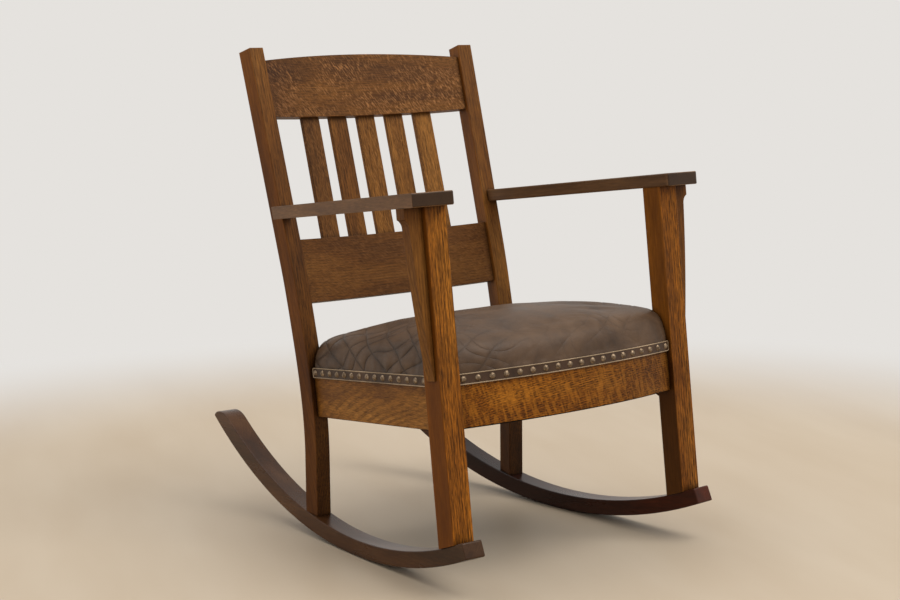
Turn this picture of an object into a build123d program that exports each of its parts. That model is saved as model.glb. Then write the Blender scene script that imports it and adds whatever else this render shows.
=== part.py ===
from build123d import *
import os
from math import asin, atan2, cos, degrees, hypot, radians, sin, sqrt, tan

# Rocking chair in oak, standing on the floor as it comes to rest.
# X runs across the chair, +Y to the back, +Z up, millimetres, floor at Z = 0.
# The seat, posts and arms are square to each other in a chair frame that
# leans back by frame_pitch; in it v runs to the back and w runs up.

# Stance
frame_pitch = 6.04
stance_shift = 96.05
cut_overrun = 6.0
fit_clearance = 0.1
soft_clearance = 0.3
eased_edge = 1.6

# Front posts
front_post_size = 42.0
front_post_spread = 281.0
front_post_face = 312.7

# Rear posts: sawn from a board, bent at the seat and turned in plan
rear_post_width = 31.6
rear_post_depth = 33.5
rear_post_spread = 250.0
rear_post_turn = 4.78
rear_post_pivot = 200.0
rear_foot_v = 137.0
rear_foot_w = 40.0
rear_shin_v = 121.8
rear_shin_w = 163.7
rear_shin_sag = 3.4
rear_loin_v = 118.9
rear_loin_w = 314.3
rear_bend_sag = 1.8
rear_rake_v = 140.4
rear_rake_w = 517.7
rear_top_v = 203.5
rear_top_w = 912.5

# Rockers
rocker_radius = 898.0
rocker_rest_y = 12.0
rocker_front_y = 338.0
rocker_back_y = 533.5
rocker_depth_front = 28.0
rocker_depth_middle = 29.5
rocker_depth_back = 35.0
rocker_width = 38.3
rocker_spread = 259.5
rocker_toe = 3.8
rocker_tip_round = 3.0
rocker_tail_roll = 55.0

# Seat rails
seat_rail_bottom = 238.0
seat_rail_height = 88.0
seat_rail_thickness = 22.0
front_rail_setback = 11.0
front_rail_bow = 33.9
side_rail_setback = 10.0
seat_tenon_thickness = 10.0
seat_tenon_shoulder = 14.0
seat_tenon_length = 14.0
rear_side_tenon_length = 9.0
side_rail_past = 3.0
knee_length = 40.0
knee_drop = 22.0
knee_thickness = 16.0
corner_block_leg = 96.0
corner_block_height = 56.0
corner_block_drop = 8.0

# Back rails and slats
back_rail_setback = 11.0
back_rail_thickness = 21.0
back_rail_bow = 18.0
back_rail_half_span = 220.0
lower_rail_below_rake = 73.5
lower_rail_height = 116.6
crest_below_top = 22.7
crest_end_height = 104.5
crest_crown = 15.2
back_tenon_thickness = 9.0
back_tenon_shoulder = 12.0
back_tenon_length = 15.0
slat_count = 5
slat_width = 39.0
slat_thickness = 8.5
slat_pitch = 65.5
slat_setback = 9.5
slat_housing = 12.0

# Arms
arm_top = 621.6
arm_thickness = 23.0
arm_outer_front_x = 317.4
arm_outer_front_v = 329.2
arm_outer_rear_x = 272.5
arm_front_width = 80.0
arm_rear_width = 41.5
arm_corner_round = 5.0
arm_edge_round = 2.6
arm_tenon_size = 22.0
arm_tenon_height = 13.0

# Corbels under the arms
corbel_thickness = 21.0
corbel_front_setback = 9.6
corbel_head_reach = 35.0
corbel_head_height = 17.5
corbel_neck_reach = 26.0
corbel_neck_drop = 33.0
corbel_tip_reach = 3.0
corbel_tip_w = 320.0
corbel_bulge = 2.8

# Dowels and screws
leg_dowel_diameter = 12.0
leg_dowel_length = 44.0
leg_dowel_in_rocker = 18.0
arm_dowel_diameter = 9.0
arm_dowel_length = 36.0
screw_shank_diameter = 4.2
screw_head_diameter = 8.4
screw_length = 46.0
screw_head_height = 3.4

# Webbing
web_width = 50.0
web_thickness = 1.2
web_long_pitch = 104.0
web_cross_pitch = 92.0
web_tack_inset = 13.0
web_rise_length = 14.0
web_long_count = 3
web_cross_count = 3

# Springs
spring_wire = 3.2
spring_diameter = 64.0
spring_turns = 5.0
spring_cloth_thickness = 1.5
spring_room_height = 54.0
spring_room_inset = 14.0
spring_room_draw = 42.0
spring_room_shoulder = 36.0
dust_cover_thickness = 0.8
dust_cover_inset = 11.0

# Stuffing and leather
seat_crown = 88.0
leather_thickness = 2.0
skirt_thickness = 1.4
skirt_depth = 15.0
cushion_corner_round = 30.0
cushion_inset_shares = (0.0, 0.01, 0.03, 0.068, 0.132, 0.22, 0.39, 0.585, 0.805, 1.0)
cushion_rise_shares = (0.0, 0.19, 0.34, 0.485, 0.62, 0.715, 0.83, 0.915, 0.975, 1.0)
cushion_top_inset = 205.0

# Gimp band and nails
gimp_width = 18.0
gimp_thickness = 2.0
gimp_end_round = 3.0
gimp_front_below_rail_top = 0.0
gimp_side_above_rail_top = 1.0
nail_head_diameter = 11.4
nail_head_height = 3.4
nail_shank_diameter = 1.8
nail_shank_length = 13.0
nail_pitch = 25.4
nail_end_margin = 9.0

# Directions and planes of the leaning chair frame
pitch = radians(frame_pitch)
turn = radians(rear_post_turn)
toe = radians(rocker_toe)
frame_plane = Plane(
    origin=(0, -stance_shift, 0), x_dir=(1, 0, 0), z_dir=(0, sin(pitch), cos(pitch))
)
frame_back = (0, cos(pitch), -sin(pitch))


def at(x, v, w):
    """Point of the chair frame in floor coordinates."""
    return (x, v * cos(pitch) + w * sin(pitch) - stance_shift, w * cos(pitch) - v * sin(pitch))


def face_plane(v):
    """Plane seen from the front at depth v: local x across, local y up."""
    return Plane(origin=at(0, v, 0), x_dir=(1, 0, 0), z_dir=(0, -cos(pitch), sin(pitch)))


def frame_at(v, w):
    """Depth from the floor coordinates of a frame point."""
    return v * cos(pitch) + w * sin(pitch)


post_plane = Plane(
    origin=(
        -rear_post_spread + rear_post_pivot * sin(turn),
        rear_post_pivot - rear_post_pivot * cos(turn) - stance_shift,
        0,
    ),
    x_dir=(-sin(turn) * cos(pitch), cos(turn) * cos(pitch), -sin(pitch)),
    z_dir=(cos(turn), sin(turn), 0),
)


def post_inner_x(v, w):
    """Distance from the middle plane to the inner face of a rear post."""
    lean = (frame_at(v, w) - rear_post_pivot) * sin(turn)
    return rear_post_spread - rear_post_width * cos(turn) + lean


def post_outer_x(v, w):
    """Distance from the middle plane to the outer face of a rear post."""
    return rear_post_spread + (frame_at(v, w) - rear_post_pivot) * sin(turn)


# Rear post profile: front edge, and back edge at rear_post_depth behind it
rear_seat_v = (rear_shin_v + rear_loin_v) / 2 - rear_shin_sag
rear_seat_w = (rear_shin_w + rear_loin_w) / 2
rear_bend_v = (rear_loin_v + rear_rake_v) / 2 - rear_bend_sag
rear_bend_w = (rear_loin_w + rear_rake_w) / 2
rake = atan2(rear_top_v - rear_rake_v, rear_top_w - rear_rake_w)
shin = atan2(rear_foot_v - rear_shin_v, rear_shin_w - rear_foot_w)
loin = atan2(rear_rake_v - rear_loin_v, rear_rake_w - rear_loin_w)


def behind(v, w, angle):
    """Point at the post's depth behind a front edge that leans by angle."""
    return (v + rear_post_depth * cos(angle), w - rear_post_depth * sin(angle))


with BuildPart() as rear_post_blank:
    with BuildSketch(post_plane) as post_profile:
        with BuildLine():
            Line((rear_foot_v, rear_foot_w), (rear_shin_v, rear_shin_w))
            Spline(
                (rear_shin_v, rear_shin_w),
                (rear_seat_v, rear_seat_w),
                (rear_loin_v, rear_loin_w),
                (rear_bend_v, rear_bend_w),
                (rear_rake_v, rear_rake_w),
                tangents=((-sin(shin), cos(shin)), (sin(rake), cos(rake))),
            )
            Line((rear_rake_v, rear_rake_w), (rear_top_v, rear_top_w))
            Line((rear_top_v, rear_top_w), behind(rear_top_v, rear_top_w, rake))
            Line(behind(rear_top_v, rear_top_w, rake), behind(rear_rake_v, rear_rake_w, rake))
            Spline(
                behind(rear_rake_v, rear_rake_w, rake),
                behind(rear_bend_v, rear_bend_w, loin),
                behind(rear_loin_v, rear_loin_w, loin * 2 / 3),
                behind(rear_seat_v, rear_seat_w, 0),
                behind(rear_shin_v, rear_shin_w, -shin),
                tangents=((-sin(rake), -cos(rake)), (sin(shin), -cos(shin))),
            )
            Line(behind(rear_shin_v, rear_shin_w, -shin), behind(rear_foot_v, rear_foot_w, -shin))
            Line(behind(rear_foot_v, rear_foot_w, -shin), (rear_foot_v, rear_foot_w))
        make_face()
    extrude(amount=rear_post_width)
    fillet(
        rear_post_blank.faces().sort_by(Axis.X)[0].edges()
        + rear_post_blank.faces().sort_by(Axis.X)[-1].edges(),
        radius=eased_edge,
    )

# Rocker outline in its own upright plane, toed in towards the back
rocker_plane = Plane(
    origin=(-rocker_spread, -stance_shift, 0),
    x_dir=(sin(toe), cos(toe), 0),
    z_dir=(cos(toe), -sin(toe), 0),
)


def rocker_low(y):
    """Point of the rolling curve at distance y along the rocker."""
    return (y, rocker_radius - sqrt(rocker_radius**2 - (y - rocker_rest_y) ** 2))


def rocker_high(y, depth):
    """Point at the given depth of wood above the rolling curve."""
    low = rocker_low(y)
    slope = asin((y - rocker_rest_y) / rocker_radius)
    return (low[0] - depth * sin(slope), low[1] + depth * cos(slope))


rocker_nose_high = rocker_high(-rocker_front_y, rocker_depth_front)
rocker_mid_high = rocker_high(rocker_rest_y, rocker_depth_middle)

# The tail rolls down from its upper curve to a sharp lower tip
rocker_tip_slope = asin((rocker_back_y - rocker_rest_y) / rocker_radius)
rocker_roll_y = rocker_back_y - rocker_tail_roll * cos(rocker_tip_slope)
rocker_roll_slope = asin((rocker_roll_y - rocker_rest_y) / rocker_radius)
rocker_tail_tip = rocker_low(rocker_back_y)
rocker_tail_high = rocker_high(rocker_roll_y, rocker_depth_back)
roll_along = rocker_tail_roll * (1 - cos(radians(45)))
roll_up = rocker_depth_back * sin(radians(45))
rocker_roll_middle = (
    rocker_tail_tip[0] - roll_along * cos(rocker_tip_slope) - roll_up * sin(rocker_tip_slope),
    rocker_tail_tip[1] - roll_along * sin(rocker_tip_slope) + roll_up * cos(rocker_tip_slope),
)

with BuildPart() as rocker_blank:
    with BuildSketch(rocker_plane) as rocker_profile:
        with BuildLine():
            ThreePointArc(
                rocker_low(-rocker_front_y), rocker_low(rocker_rest_y), rocker_tail_tip
            )
            Spline(
                rocker_tail_tip,
                rocker_roll_middle,
                rocker_tail_high,
                tangents=(
                    (-sin(rocker_tip_slope), cos(rocker_tip_slope)),
                    (-cos(rocker_roll_slope), -sin(rocker_roll_slope)),
                ),
            )
            ThreePointArc(rocker_tail_high, rocker_mid_high, rocker_nose_high)
            Line(rocker_nose_high, rocker_low(-rocker_front_y))
        make_face()
        corners = rocker_profile.vertices().sort_by(Axis.X)
        fillet([corners[0], corners[1], corners[-1]], radius=rocker_tip_round)
    extrude(amount=rocker_width)
    fillet(
        rocker_blank.faces().sort_by(Axis.X)[0].edges()
        + rocker_blank.faces().sort_by(Axis.X)[-1].edges(),
        radius=eased_edge,
    )

# Everything under the upper curve of the rocker, used to seat the feet
with BuildPart() as under_rocker_top:
    with BuildSketch(rocker_plane.offset(-rear_post_width)):
        with BuildLine():
            ThreePointArc(rocker_tail_high, rocker_mid_high, rocker_nose_high)
            Line(rocker_nose_high, (rocker_nose_high[0], -rocker_depth_middle))
            Line(
                (rocker_nose_high[0], -rocker_depth_middle),
                (rocker_tail_high[0], -rocker_depth_middle),
            )
            Line((rocker_tail_high[0], -rocker_depth_middle), rocker_tail_high)
        make_face()
    extrude(amount=rocker_width + rear_post_width + rear_post_width)

# Levels and places shared by several pieces
seat_rail_top = seat_rail_bottom + seat_rail_height
seat_middle_w = seat_rail_bottom + seat_rail_height / 2
arm_bottom = arm_top - arm_thickness
post_front_v = -front_post_face
post_back_v = -front_post_face + front_post_size
post_inner_front_x = front_post_spread - front_post_size
post_middle_x = front_post_spread - front_post_size / 2
post_middle_v = -front_post_face + front_post_size / 2

# Front seat rail, bowed forward in plan
front_rail_end_v = post_front_v + front_rail_setback
front_bow_radius = (post_inner_front_x**2 + front_rail_bow**2) / (2 * front_rail_bow)


def front_rail_v(x, out=0):
    """Depth of the bowed front face at x, moved out by a distance."""
    radius = front_bow_radius + out
    centre = front_rail_end_v - front_rail_bow + front_bow_radius
    return centre - sqrt(radius**2 - x**2)


def bowed_strip(reach, out_from, out_to):
    """Closed outline between two curves parallel to the bowed face."""
    with BuildLine() as outline:
        ThreePointArc(
            (-reach, front_rail_v(reach, out_to)),
            (0, front_rail_v(0, out_to)),
            (reach, front_rail_v(reach, out_to)),
        )
        Line((reach, front_rail_v(reach, out_to)), (reach, front_rail_v(reach, out_from)))
        ThreePointArc(
            (reach, front_rail_v(reach, out_from)),
            (0, front_rail_v(0, out_from)),
            (-reach, front_rail_v(reach, out_from)),
        )
        Line((-reach, front_rail_v(reach, out_from)), (-reach, front_rail_v(reach, out_to)))
    return outline.line


front_tenon_v = front_rail_end_v + seat_rail_thickness / 2
seat_tenon_height = seat_rail_height - 2 * seat_tenon_shoulder
front_tenon_span = 2 * (post_inner_front_x + seat_tenon_length)
front_tenon_stub = front_tenon_span / 2 - post_inner_front_x + seat_rail_thickness



def front_tenons(gap):
    """Both tenons of the front rail, grown by a gap on every face."""
    with BuildPart() as tenons:
        for side in (-1, 1):
            with Locations(
                frame_plane.location
                * Location((side * (front_tenon_span / 2 + gap), front_tenon_v, seat_middle_w)),
            ):
                Box(
                    front_tenon_stub,
                    seat_tenon_thickness + 2 * gap,
                    seat_tenon_height + 2 * gap,
                    align=(Align.MAX if side > 0 else Align.MIN, Align.CENTER, Align.CENTER),
                )
    return tenons.part


# Side seat rails, from the front post's back face to the rear post's front face
side_front_x = front_post_spread - side_rail_setback
side_rear_x = post_outer_x(rear_seat_v, seat_middle_w) - side_rail_setback
side_run = hypot(side_front_x - side_rear_x, rear_seat_v - post_back_v)
side_angle = atan2(side_front_x - side_rear_x, rear_seat_v - post_back_v)
side_x_dir = (sin(side_angle), cos(side_angle) * cos(pitch), -cos(side_angle) * sin(pitch))
side_face = Plane(
    origin=at(-side_front_x, post_back_v, 0),
    x_dir=side_x_dir,
    z_dir=(
        -cos(side_angle),
        sin(side_angle) * cos(pitch),
        -sin(side_angle) * sin(pitch),
    ),
)


side_view = Plane(origin=side_face.origin, x_dir=side_x_dir, z_dir=-side_face.z_dir)


def along_side(s, depth, w):
    """Point at run s, depth inside the side rail's outer face, level w."""
    x = -side_front_x + s * sin(side_angle) + depth * cos(side_angle)
    v = post_back_v + s * cos(side_angle) - depth * sin(side_angle)
    return (x, v, w)


def side_bar(start, end, near, far, bottom, top):
    """Prism that follows the left side rail."""
    with BuildPart() as bar:
        with BuildSketch(frame_plane.offset(bottom)):
            with BuildLine():
                Polyline(
                    along_side(start, near, 0)[:2],
                    along_side(end, near, 0)[:2],
                    along_side(end, far, 0)[:2],
                    along_side(start, far, 0)[:2],
                    close=True,
                )
            make_face()
        extrude(amount=top - bottom)
    return bar.part


tenon_near = (seat_rail_thickness - seat_tenon_thickness) / 2
tenon_far = tenon_near + seat_tenon_thickness
tenon_bottom = seat_rail_bottom + seat_tenon_shoulder
tenon_top = seat_rail_top - seat_tenon_shoulder


def side_tenon(start, end, gap):
    """Tenon of the left side rail, grown by a gap on every face."""
    return side_bar(
        start - gap,
        end + gap,
        tenon_near - gap,
        tenon_far + gap,
        tenon_bottom - gap,
        tenon_top + gap,
    )


def side_tenon_front(gap):
    """Tenon that enters the front post."""
    return side_tenon(-seat_tenon_length, seat_rail_thickness, gap)


def side_tenon_rear(gap):
    """Tenon that enters the rear post."""
    return side_tenon(side_run - seat_rail_thickness, side_run + rear_side_tenon_length, gap)



# Rear seat rail between the rear posts
rear_rail_front_v = rear_seat_v + (rear_post_depth - seat_rail_thickness) / 2
rear_rail_back_v = rear_rail_front_v + seat_rail_thickness
rear_rail_middle_v = rear_rail_front_v + seat_rail_thickness / 2
rear_inner_x = post_inner_x(rear_rail_middle_v, seat_middle_w)
rear_tenon_x = rear_inner_x + seat_tenon_length



def rear_tenons(gap):
    """Bar through the rear rail whose ends are its tenons."""
    with BuildPart() as tenons:
        with Locations(frame_plane.location * Location((0, rear_rail_middle_v, seat_middle_w))):
            Box(
                2 * (rear_tenon_x + gap),
                seat_tenon_thickness + 2 * gap,
                seat_tenon_height + 2 * gap,
            )
    return tenons.part



# Raked plane of the back: local x across, local y to the back, local z up the rake
lean = pitch + rake
back_origin_v = rear_rake_v + back_rail_setback * cos(rake)
back_origin_w = rear_rake_w - back_rail_setback * sin(rake)
back_plane = Plane(
    origin=at(0, back_origin_v, back_origin_w),
    x_dir=(1, 0, 0),
    z_dir=(0, sin(lean), cos(lean)),
)
back_view = Plane(
    origin=at(0, back_origin_v, back_origin_w),
    x_dir=(1, 0, 0),
    z_dir=(0, -cos(lean), sin(lean)),
)
back_bow_radius = (back_rail_half_span**2 + back_rail_bow**2) / (2 * back_rail_bow)


def back_curve(x, depth=0):
    """Depth of the bowed back at x, counted from the raked plane."""
    return back_rail_bow - back_bow_radius + sqrt(back_bow_radius**2 - x**2) + depth


def back_strip(reach, near, far):
    """Closed outline between two depths of the bowed back."""
    with BuildLine() as outline:
        ThreePointArc(
            (-reach, back_curve(reach, near)), (0, back_curve(0, near)), (reach, back_curve(reach, near))
        )
        Line((reach, back_curve(reach, near)), (reach, back_curve(reach, far)))
        ThreePointArc(
            (reach, back_curve(reach, far)), (0, back_curve(0, far)), (-reach, back_curve(reach, far))
        )
        Line((-reach, back_curve(reach, far)), (-reach, back_curve(reach, near)))
    return outline.line


def back_bar(reach, near, far, bottom, top):
    """Bowed bar in the raked back."""
    with BuildPart() as bar:
        with BuildSketch(back_plane.offset(bottom)):
            add(back_strip(reach, near, far))
            make_face()
        extrude(amount=top - bottom)
    return bar.part


def rake_point(h):
    """Frame coordinates of a place h up the raked front edge of a post."""
    return (rear_rake_v + h * sin(rake), rear_rake_w + h * cos(rake))


lower_rail_bottom_h = -lower_rail_below_rake
lower_rail_top_h = lower_rail_bottom_h + lower_rail_height
post_top_h = hypot(rear_top_v - rear_rake_v, rear_top_w - rear_rake_w)
crest_end_h = post_top_h - crest_below_top
crest_bottom_h = crest_end_h - crest_end_height
lower_inner_x = post_inner_x(*rake_point((lower_rail_bottom_h + lower_rail_top_h) / 2))
crest_inner_x = post_inner_x(*rake_point((crest_bottom_h + crest_end_h) / 2))
back_tenon_near = (back_rail_thickness - back_tenon_thickness) / 2
back_tenon_far = back_tenon_near + back_tenon_thickness



def lower_tenons(gap):
    """Bar through the lower back rail whose ends are its tenons."""
    return back_bar(
        lower_inner_x + back_tenon_length + gap,
        back_tenon_near - gap,
        back_tenon_far + gap,
        lower_rail_bottom_h + back_tenon_shoulder - gap,
        lower_rail_top_h - back_tenon_shoulder + gap,
    )


def crest_tenons(gap):
    """Bar through the crest rail whose ends are its tenons."""
    return back_bar(
        crest_inner_x + back_tenon_length + gap,
        back_tenon_near - gap,
        back_tenon_far + gap,
        crest_bottom_h + back_tenon_shoulder - gap,
        crest_end_h - back_tenon_shoulder + gap,
    )


# Arm: straight outer edge, square front end, tapered inner edge
arm_rear_v = rear_rake_v + (arm_top - rear_rake_w) * tan(rake)
arm_run = hypot(arm_outer_front_x - arm_outer_rear_x, arm_rear_v + arm_outer_front_v)
arm_dir_x = (arm_outer_front_x - arm_outer_rear_x) / arm_run
arm_dir_v = (arm_rear_v + arm_outer_front_v) / arm_run
arm_front_outer = (-arm_outer_front_x, -arm_outer_front_v)
arm_front_inner = (
    -arm_outer_front_x + arm_front_width * arm_dir_v,
    -arm_outer_front_v - arm_front_width * arm_dir_x,
)
arm_tail_outer = (-arm_outer_rear_x, arm_rear_v)
arm_tail_inner = (-arm_outer_rear_x + arm_rear_width, arm_rear_v)
arm_past = rear_post_depth / 2

# Front face plane of the left rear post at arm height
arm_joint_origin = post_plane.from_local_coords((arm_rear_v, arm_top, 0))
arm_joint_ahead = post_plane.from_local_coords((arm_rear_v + cos(rake), arm_top - sin(rake), 0))
arm_joint = Plane(
    origin=arm_joint_origin,
    x_dir=post_plane.z_dir,
    z_dir=Vector(*arm_joint_ahead) - Vector(*arm_joint_origin),
)
arm_middle_w = arm_top - arm_thickness / 2
arm_dowel_x = (
    post_inner_x(arm_rear_v, arm_middle_w)
    + post_outer_x(arm_rear_v, arm_middle_w)
    + arm_dowel_diameter
) / 2
arm_dowel_v = rear_rake_v + (arm_middle_w - rear_rake_w) * tan(rake)


def arm_dowel_place(side):
    """Place of an arm dowel, pointing to the back."""
    return Plane(
        origin=at(side * arm_dowel_x, arm_dowel_v, arm_middle_w),
        x_dir=(1, 0, 0),
        z_dir=(0, cos(pitch), -sin(pitch)),
    )


def arm_dowel_pair(gap):
    """The two arm dowels, grown by a gap."""
    with BuildPart() as pair:
        for side in (-1, 1):
            with Locations(arm_dowel_place(side).location):
                Cylinder(arm_dowel_diameter / 2 + gap, arm_dowel_length + 2 * gap)
    return pair.part


with BuildPart() as arm_dowels:
    add(arm_dowel_pair(0))
arm_dowels.part.label = "arm_dowels"

# Dowels between the feet and the rockers
front_foot_y = frame_at(post_middle_v, rocker_depth_middle)
rear_foot_y = frame_at(rear_foot_v + rear_post_depth / 2, rear_foot_w)


def foot_dowel_place(side, y, width_x):
    """Place of a foot dowel on the rocker's upper curve, pointing up the leg."""
    level = rocker_high(y, rocker_depth_middle)[1]
    return Plane(
        origin=(side * width_x, y - stance_shift, level),
        x_dir=(1, 0, 0),
        z_dir=(0, sin(pitch), cos(pitch)),
    )


rocker_axis_front = rocker_spread - front_foot_y * tan(toe) - rocker_width / 2
rocker_axis_rear = rocker_spread - rear_foot_y * tan(toe) - rocker_width / 2
dowel_shift = leg_dowel_length / 2 - leg_dowel_in_rocker



def foot_dowel_set(gap):
    """The four foot dowels, grown by a gap."""
    with BuildPart() as pins:
        for side in (-1, 1):
            for y, x in ((front_foot_y, rocker_axis_front), (rear_foot_y, rocker_axis_rear)):
                with Locations(foot_dowel_place(side, y, x).offset(dowel_shift).location):
                    Cylinder(leg_dowel_diameter / 2 + gap, leg_dowel_length + 2 * gap)
    return pins.part


with BuildPart() as leg_dowels:
    add(foot_dowel_set(0))
leg_dowels.part.label = "leg_dowels"

# Corner blocks inside the seat frame, each with one screw into its post
block_bottom = seat_rail_bottom + corner_block_drop
block_middle = block_bottom + corner_block_height / 2
block_front_x = -front_post_spread + side_rail_setback
block_front_v = front_rail_end_v
block_rear_x = -side_rear_x
block_rear_v = rear_rail_front_v


def screw_plane(x, v, forward):
    """Plane of a screw on the long face of a corner block, head outwards."""
    half = corner_block_leg / 2
    spread = cos(radians(45))
    return Plane(
        origin=at(x + half, v + forward * half, block_middle),
        x_dir=(0, sin(pitch), cos(pitch)),
        z_dir=(spread, forward * spread * cos(pitch), -forward * spread * sin(pitch)),
    )


def screw_pair(gap):
    """The two screws of the left side, grown by a gap."""
    with BuildPart() as screw:
        Cylinder(
            screw_shank_diameter / 2 + gap,
            screw_length + gap,
            align=(Align.CENTER, Align.CENTER, Align.MAX),
        )
        with Locations((0, 0, gap)):
            Cone(
                screw_shank_diameter / 2 + gap,
                screw_head_diameter / 2 + gap,
                screw_head_height + gap,
                align=(Align.CENTER, Align.CENTER, Align.MAX),
            )
    with BuildPart() as pair:
        for place in (
            screw_plane(block_front_x, block_front_v, 1),
            screw_plane(block_rear_x, block_rear_v, -1),
        ):
            with Locations(place.location):
                add(screw.part)
    return pair.part


with BuildPart() as block_screws:
    add(screw_pair(0))
    mirror(screw_pair(0), about=Plane.YZ)
block_screws.part.label = "block_screws"
screw_holes = screw_pair(fit_clearance)
arm_dowel_holes = arm_dowel_pair(fit_clearance)
foot_dowel_holes = foot_dowel_set(fit_clearance)

# Front posts
with BuildPart() as front_post_blank:
    with BuildSketch(frame_plane):
        with Locations((-post_middle_x, post_middle_v)):
            Rectangle(front_post_size, front_post_size)
    extrude(amount=arm_bottom)
    fillet(
        front_post_blank.edges().filter_by(Axis(frame_plane.origin, frame_plane.z_dir)),
        radius=eased_edge,
    )

with BuildPart() as front_post_left:
    add(front_post_blank.part)
    add(under_rocker_top.part, mode=Mode.SUBTRACT)
    with Locations(frame_plane.location * Location((-post_middle_x, post_middle_v, arm_bottom))):
        Box(
            arm_tenon_size,
            arm_tenon_size,
            arm_tenon_height,
            align=(Align.CENTER, Align.CENTER, Align.MIN),
        )
    add(front_tenons(fit_clearance), mode=Mode.SUBTRACT)
    add(side_tenon_front(fit_clearance), mode=Mode.SUBTRACT)
    add(foot_dowel_holes, mode=Mode.SUBTRACT)
    add(screw_holes, mode=Mode.SUBTRACT)
front_post_left.part.label = "front_post_left"

with BuildPart() as front_post_right:
    mirror(front_post_left.part, about=Plane.YZ)
front_post_right.part.label = "front_post_right"

# Rear posts with their mortises
with BuildPart() as rear_post_left:
    add(rear_post_blank.part)
    add(under_rocker_top.part, mode=Mode.SUBTRACT)
    add(side_tenon_rear(fit_clearance), mode=Mode.SUBTRACT)
    add(rear_tenons(fit_clearance), mode=Mode.SUBTRACT)
    add(lower_tenons(fit_clearance), mode=Mode.SUBTRACT)
    add(crest_tenons(fit_clearance), mode=Mode.SUBTRACT)
    add(arm_dowel_holes, mode=Mode.SUBTRACT)
    add(foot_dowel_holes, mode=Mode.SUBTRACT)
    add(screw_holes, mode=Mode.SUBTRACT)
rear_post_left.part.label = "rear_post_left"

with BuildPart() as rear_post_right:
    mirror(rear_post_left.part, about=Plane.YZ)
rear_post_right.part.label = "rear_post_right"

with BuildPart() as both_rear_blanks:
    add(rear_post_blank.part)
    mirror(rear_post_blank.part, about=Plane.YZ)

with BuildPart() as both_front_blanks:
    add(front_post_blank.part)
    mirror(front_post_blank.part, about=Plane.YZ)

# Rockers
with BuildPart() as rocker_left:
    add(rocker_blank.part)
    add(foot_dowel_holes, mode=Mode.SUBTRACT)
rocker_left.part.label = "rocker_left"

with BuildPart() as rocker_right:
    mirror(rocker_left.part, about=Plane.YZ)
rocker_right.part.label = "rocker_right"

# Nails: a domed head on a flat base, with a thin shank behind it
nail_dome_radius = (nail_head_diameter**2 / 4 + nail_head_height**2) / (2 * nail_head_height)
nail_dome_half = asin(nail_head_diameter / 2 / nail_dome_radius) / 2

with BuildPart() as nail_blank:
    Cylinder(
        nail_shank_diameter / 2,
        nail_shank_length,
        align=(Align.CENTER, Align.CENTER, Align.MAX),
    )
    with BuildSketch(Plane.XZ):
        with BuildLine():
            Line((0, 0), (nail_head_diameter / 2, 0))
            ThreePointArc(
                (nail_head_diameter / 2, 0),
                (
                    nail_dome_radius * sin(nail_dome_half),
                    nail_head_height - nail_dome_radius + nail_dome_radius * cos(nail_dome_half),
                ),
                (0, nail_head_height),
            )
            Line((0, nail_head_height), (0, 0))
        make_face()
    revolve(axis=Axis.Z)

skirt_out = fit_clearance + skirt_thickness
gimp_inside = skirt_out + fit_clearance
cover_out = gimp_inside + gimp_thickness
gimp_front_top = seat_rail_top - gimp_front_below_rail_top
gimp_front_bottom = gimp_front_top - gimp_width
gimp_side_top = seat_rail_top + gimp_side_above_rail_top
gimp_side_bottom = gimp_side_top - gimp_width
gimp_front_reach = post_inner_front_x - soft_clearance
gimp_side_start = soft_clearance
gimp_side_end = side_run - soft_clearance
rear_gimp_reach = post_inner_x(rear_rail_back_v, gimp_side_bottom) - soft_clearance
front_nail_reach = gimp_front_reach - nail_end_margin
front_nail_count = int(2 * front_nail_reach / nail_pitch) + 1
front_nail_step = 2 * front_nail_reach / (front_nail_count - 1)
side_nail_run = gimp_side_end - gimp_side_start - 2 * nail_end_margin
side_nail_count = int(side_nail_run / nail_pitch) + 1
side_nail_step = side_nail_run / (side_nail_count - 1)
rear_nail_reach = rear_gimp_reach - nail_end_margin
rear_nail_count = int(2 * rear_nail_reach / nail_pitch) + 1
rear_nail_step = 2 * rear_nail_reach / (rear_nail_count - 1)


def front_nail_plane(index):
    """Place of a nail on the bowed front band, head outwards."""
    x = -front_nail_reach + index * front_nail_step
    swing = asin(x / (front_bow_radius + cover_out))
    return Plane(
        origin=at(x, front_rail_v(x, cover_out), (gimp_front_top + gimp_front_bottom) / 2),
        x_dir=(cos(swing), sin(swing) * cos(pitch), -sin(swing) * sin(pitch)),
        z_dir=(sin(swing), -cos(swing) * cos(pitch), cos(swing) * sin(pitch)),
    )


def side_nail_plane(index):
    """Place of a nail on the left side band, head outwards."""
    s = gimp_side_start + nail_end_margin + index * side_nail_step
    return Plane(
        origin=at(*along_side(s, -cover_out, (gimp_side_top + gimp_side_bottom) / 2)),
        x_dir=side_x_dir,
        z_dir=side_face.z_dir,
    )


def rear_nail_plane(index):
    """Place of a nail on the rear band, head to the back."""
    x = -rear_nail_reach + index * rear_nail_step
    return Plane(
        origin=at(x, rear_rail_back_v + cover_out, (gimp_side_top + gimp_side_bottom) / 2),
        x_dir=(-1, 0, 0),
        z_dir=(0, cos(pitch), -sin(pitch)),
    )


with BuildPart() as nails_front:
    for index in range(front_nail_count):
        with Locations(front_nail_plane(index).location):
            add(nail_blank.part)
nails_front.part.label = "nails_front"

with BuildPart() as nails_left:
    for index in range(side_nail_count):
        with Locations(side_nail_plane(index).location):
            add(nail_blank.part)
nails_left.part.label = "nails_left"

with BuildPart() as nails_right:
    mirror(nails_left.part, about=Plane.YZ)
nails_right.part.label = "nails_right"

with BuildPart() as nails_rear:
    for index in range(rear_nail_count):
        with Locations(rear_nail_plane(index).location):
            add(nail_blank.part)
nails_rear.part.label = "nails_rear"

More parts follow.
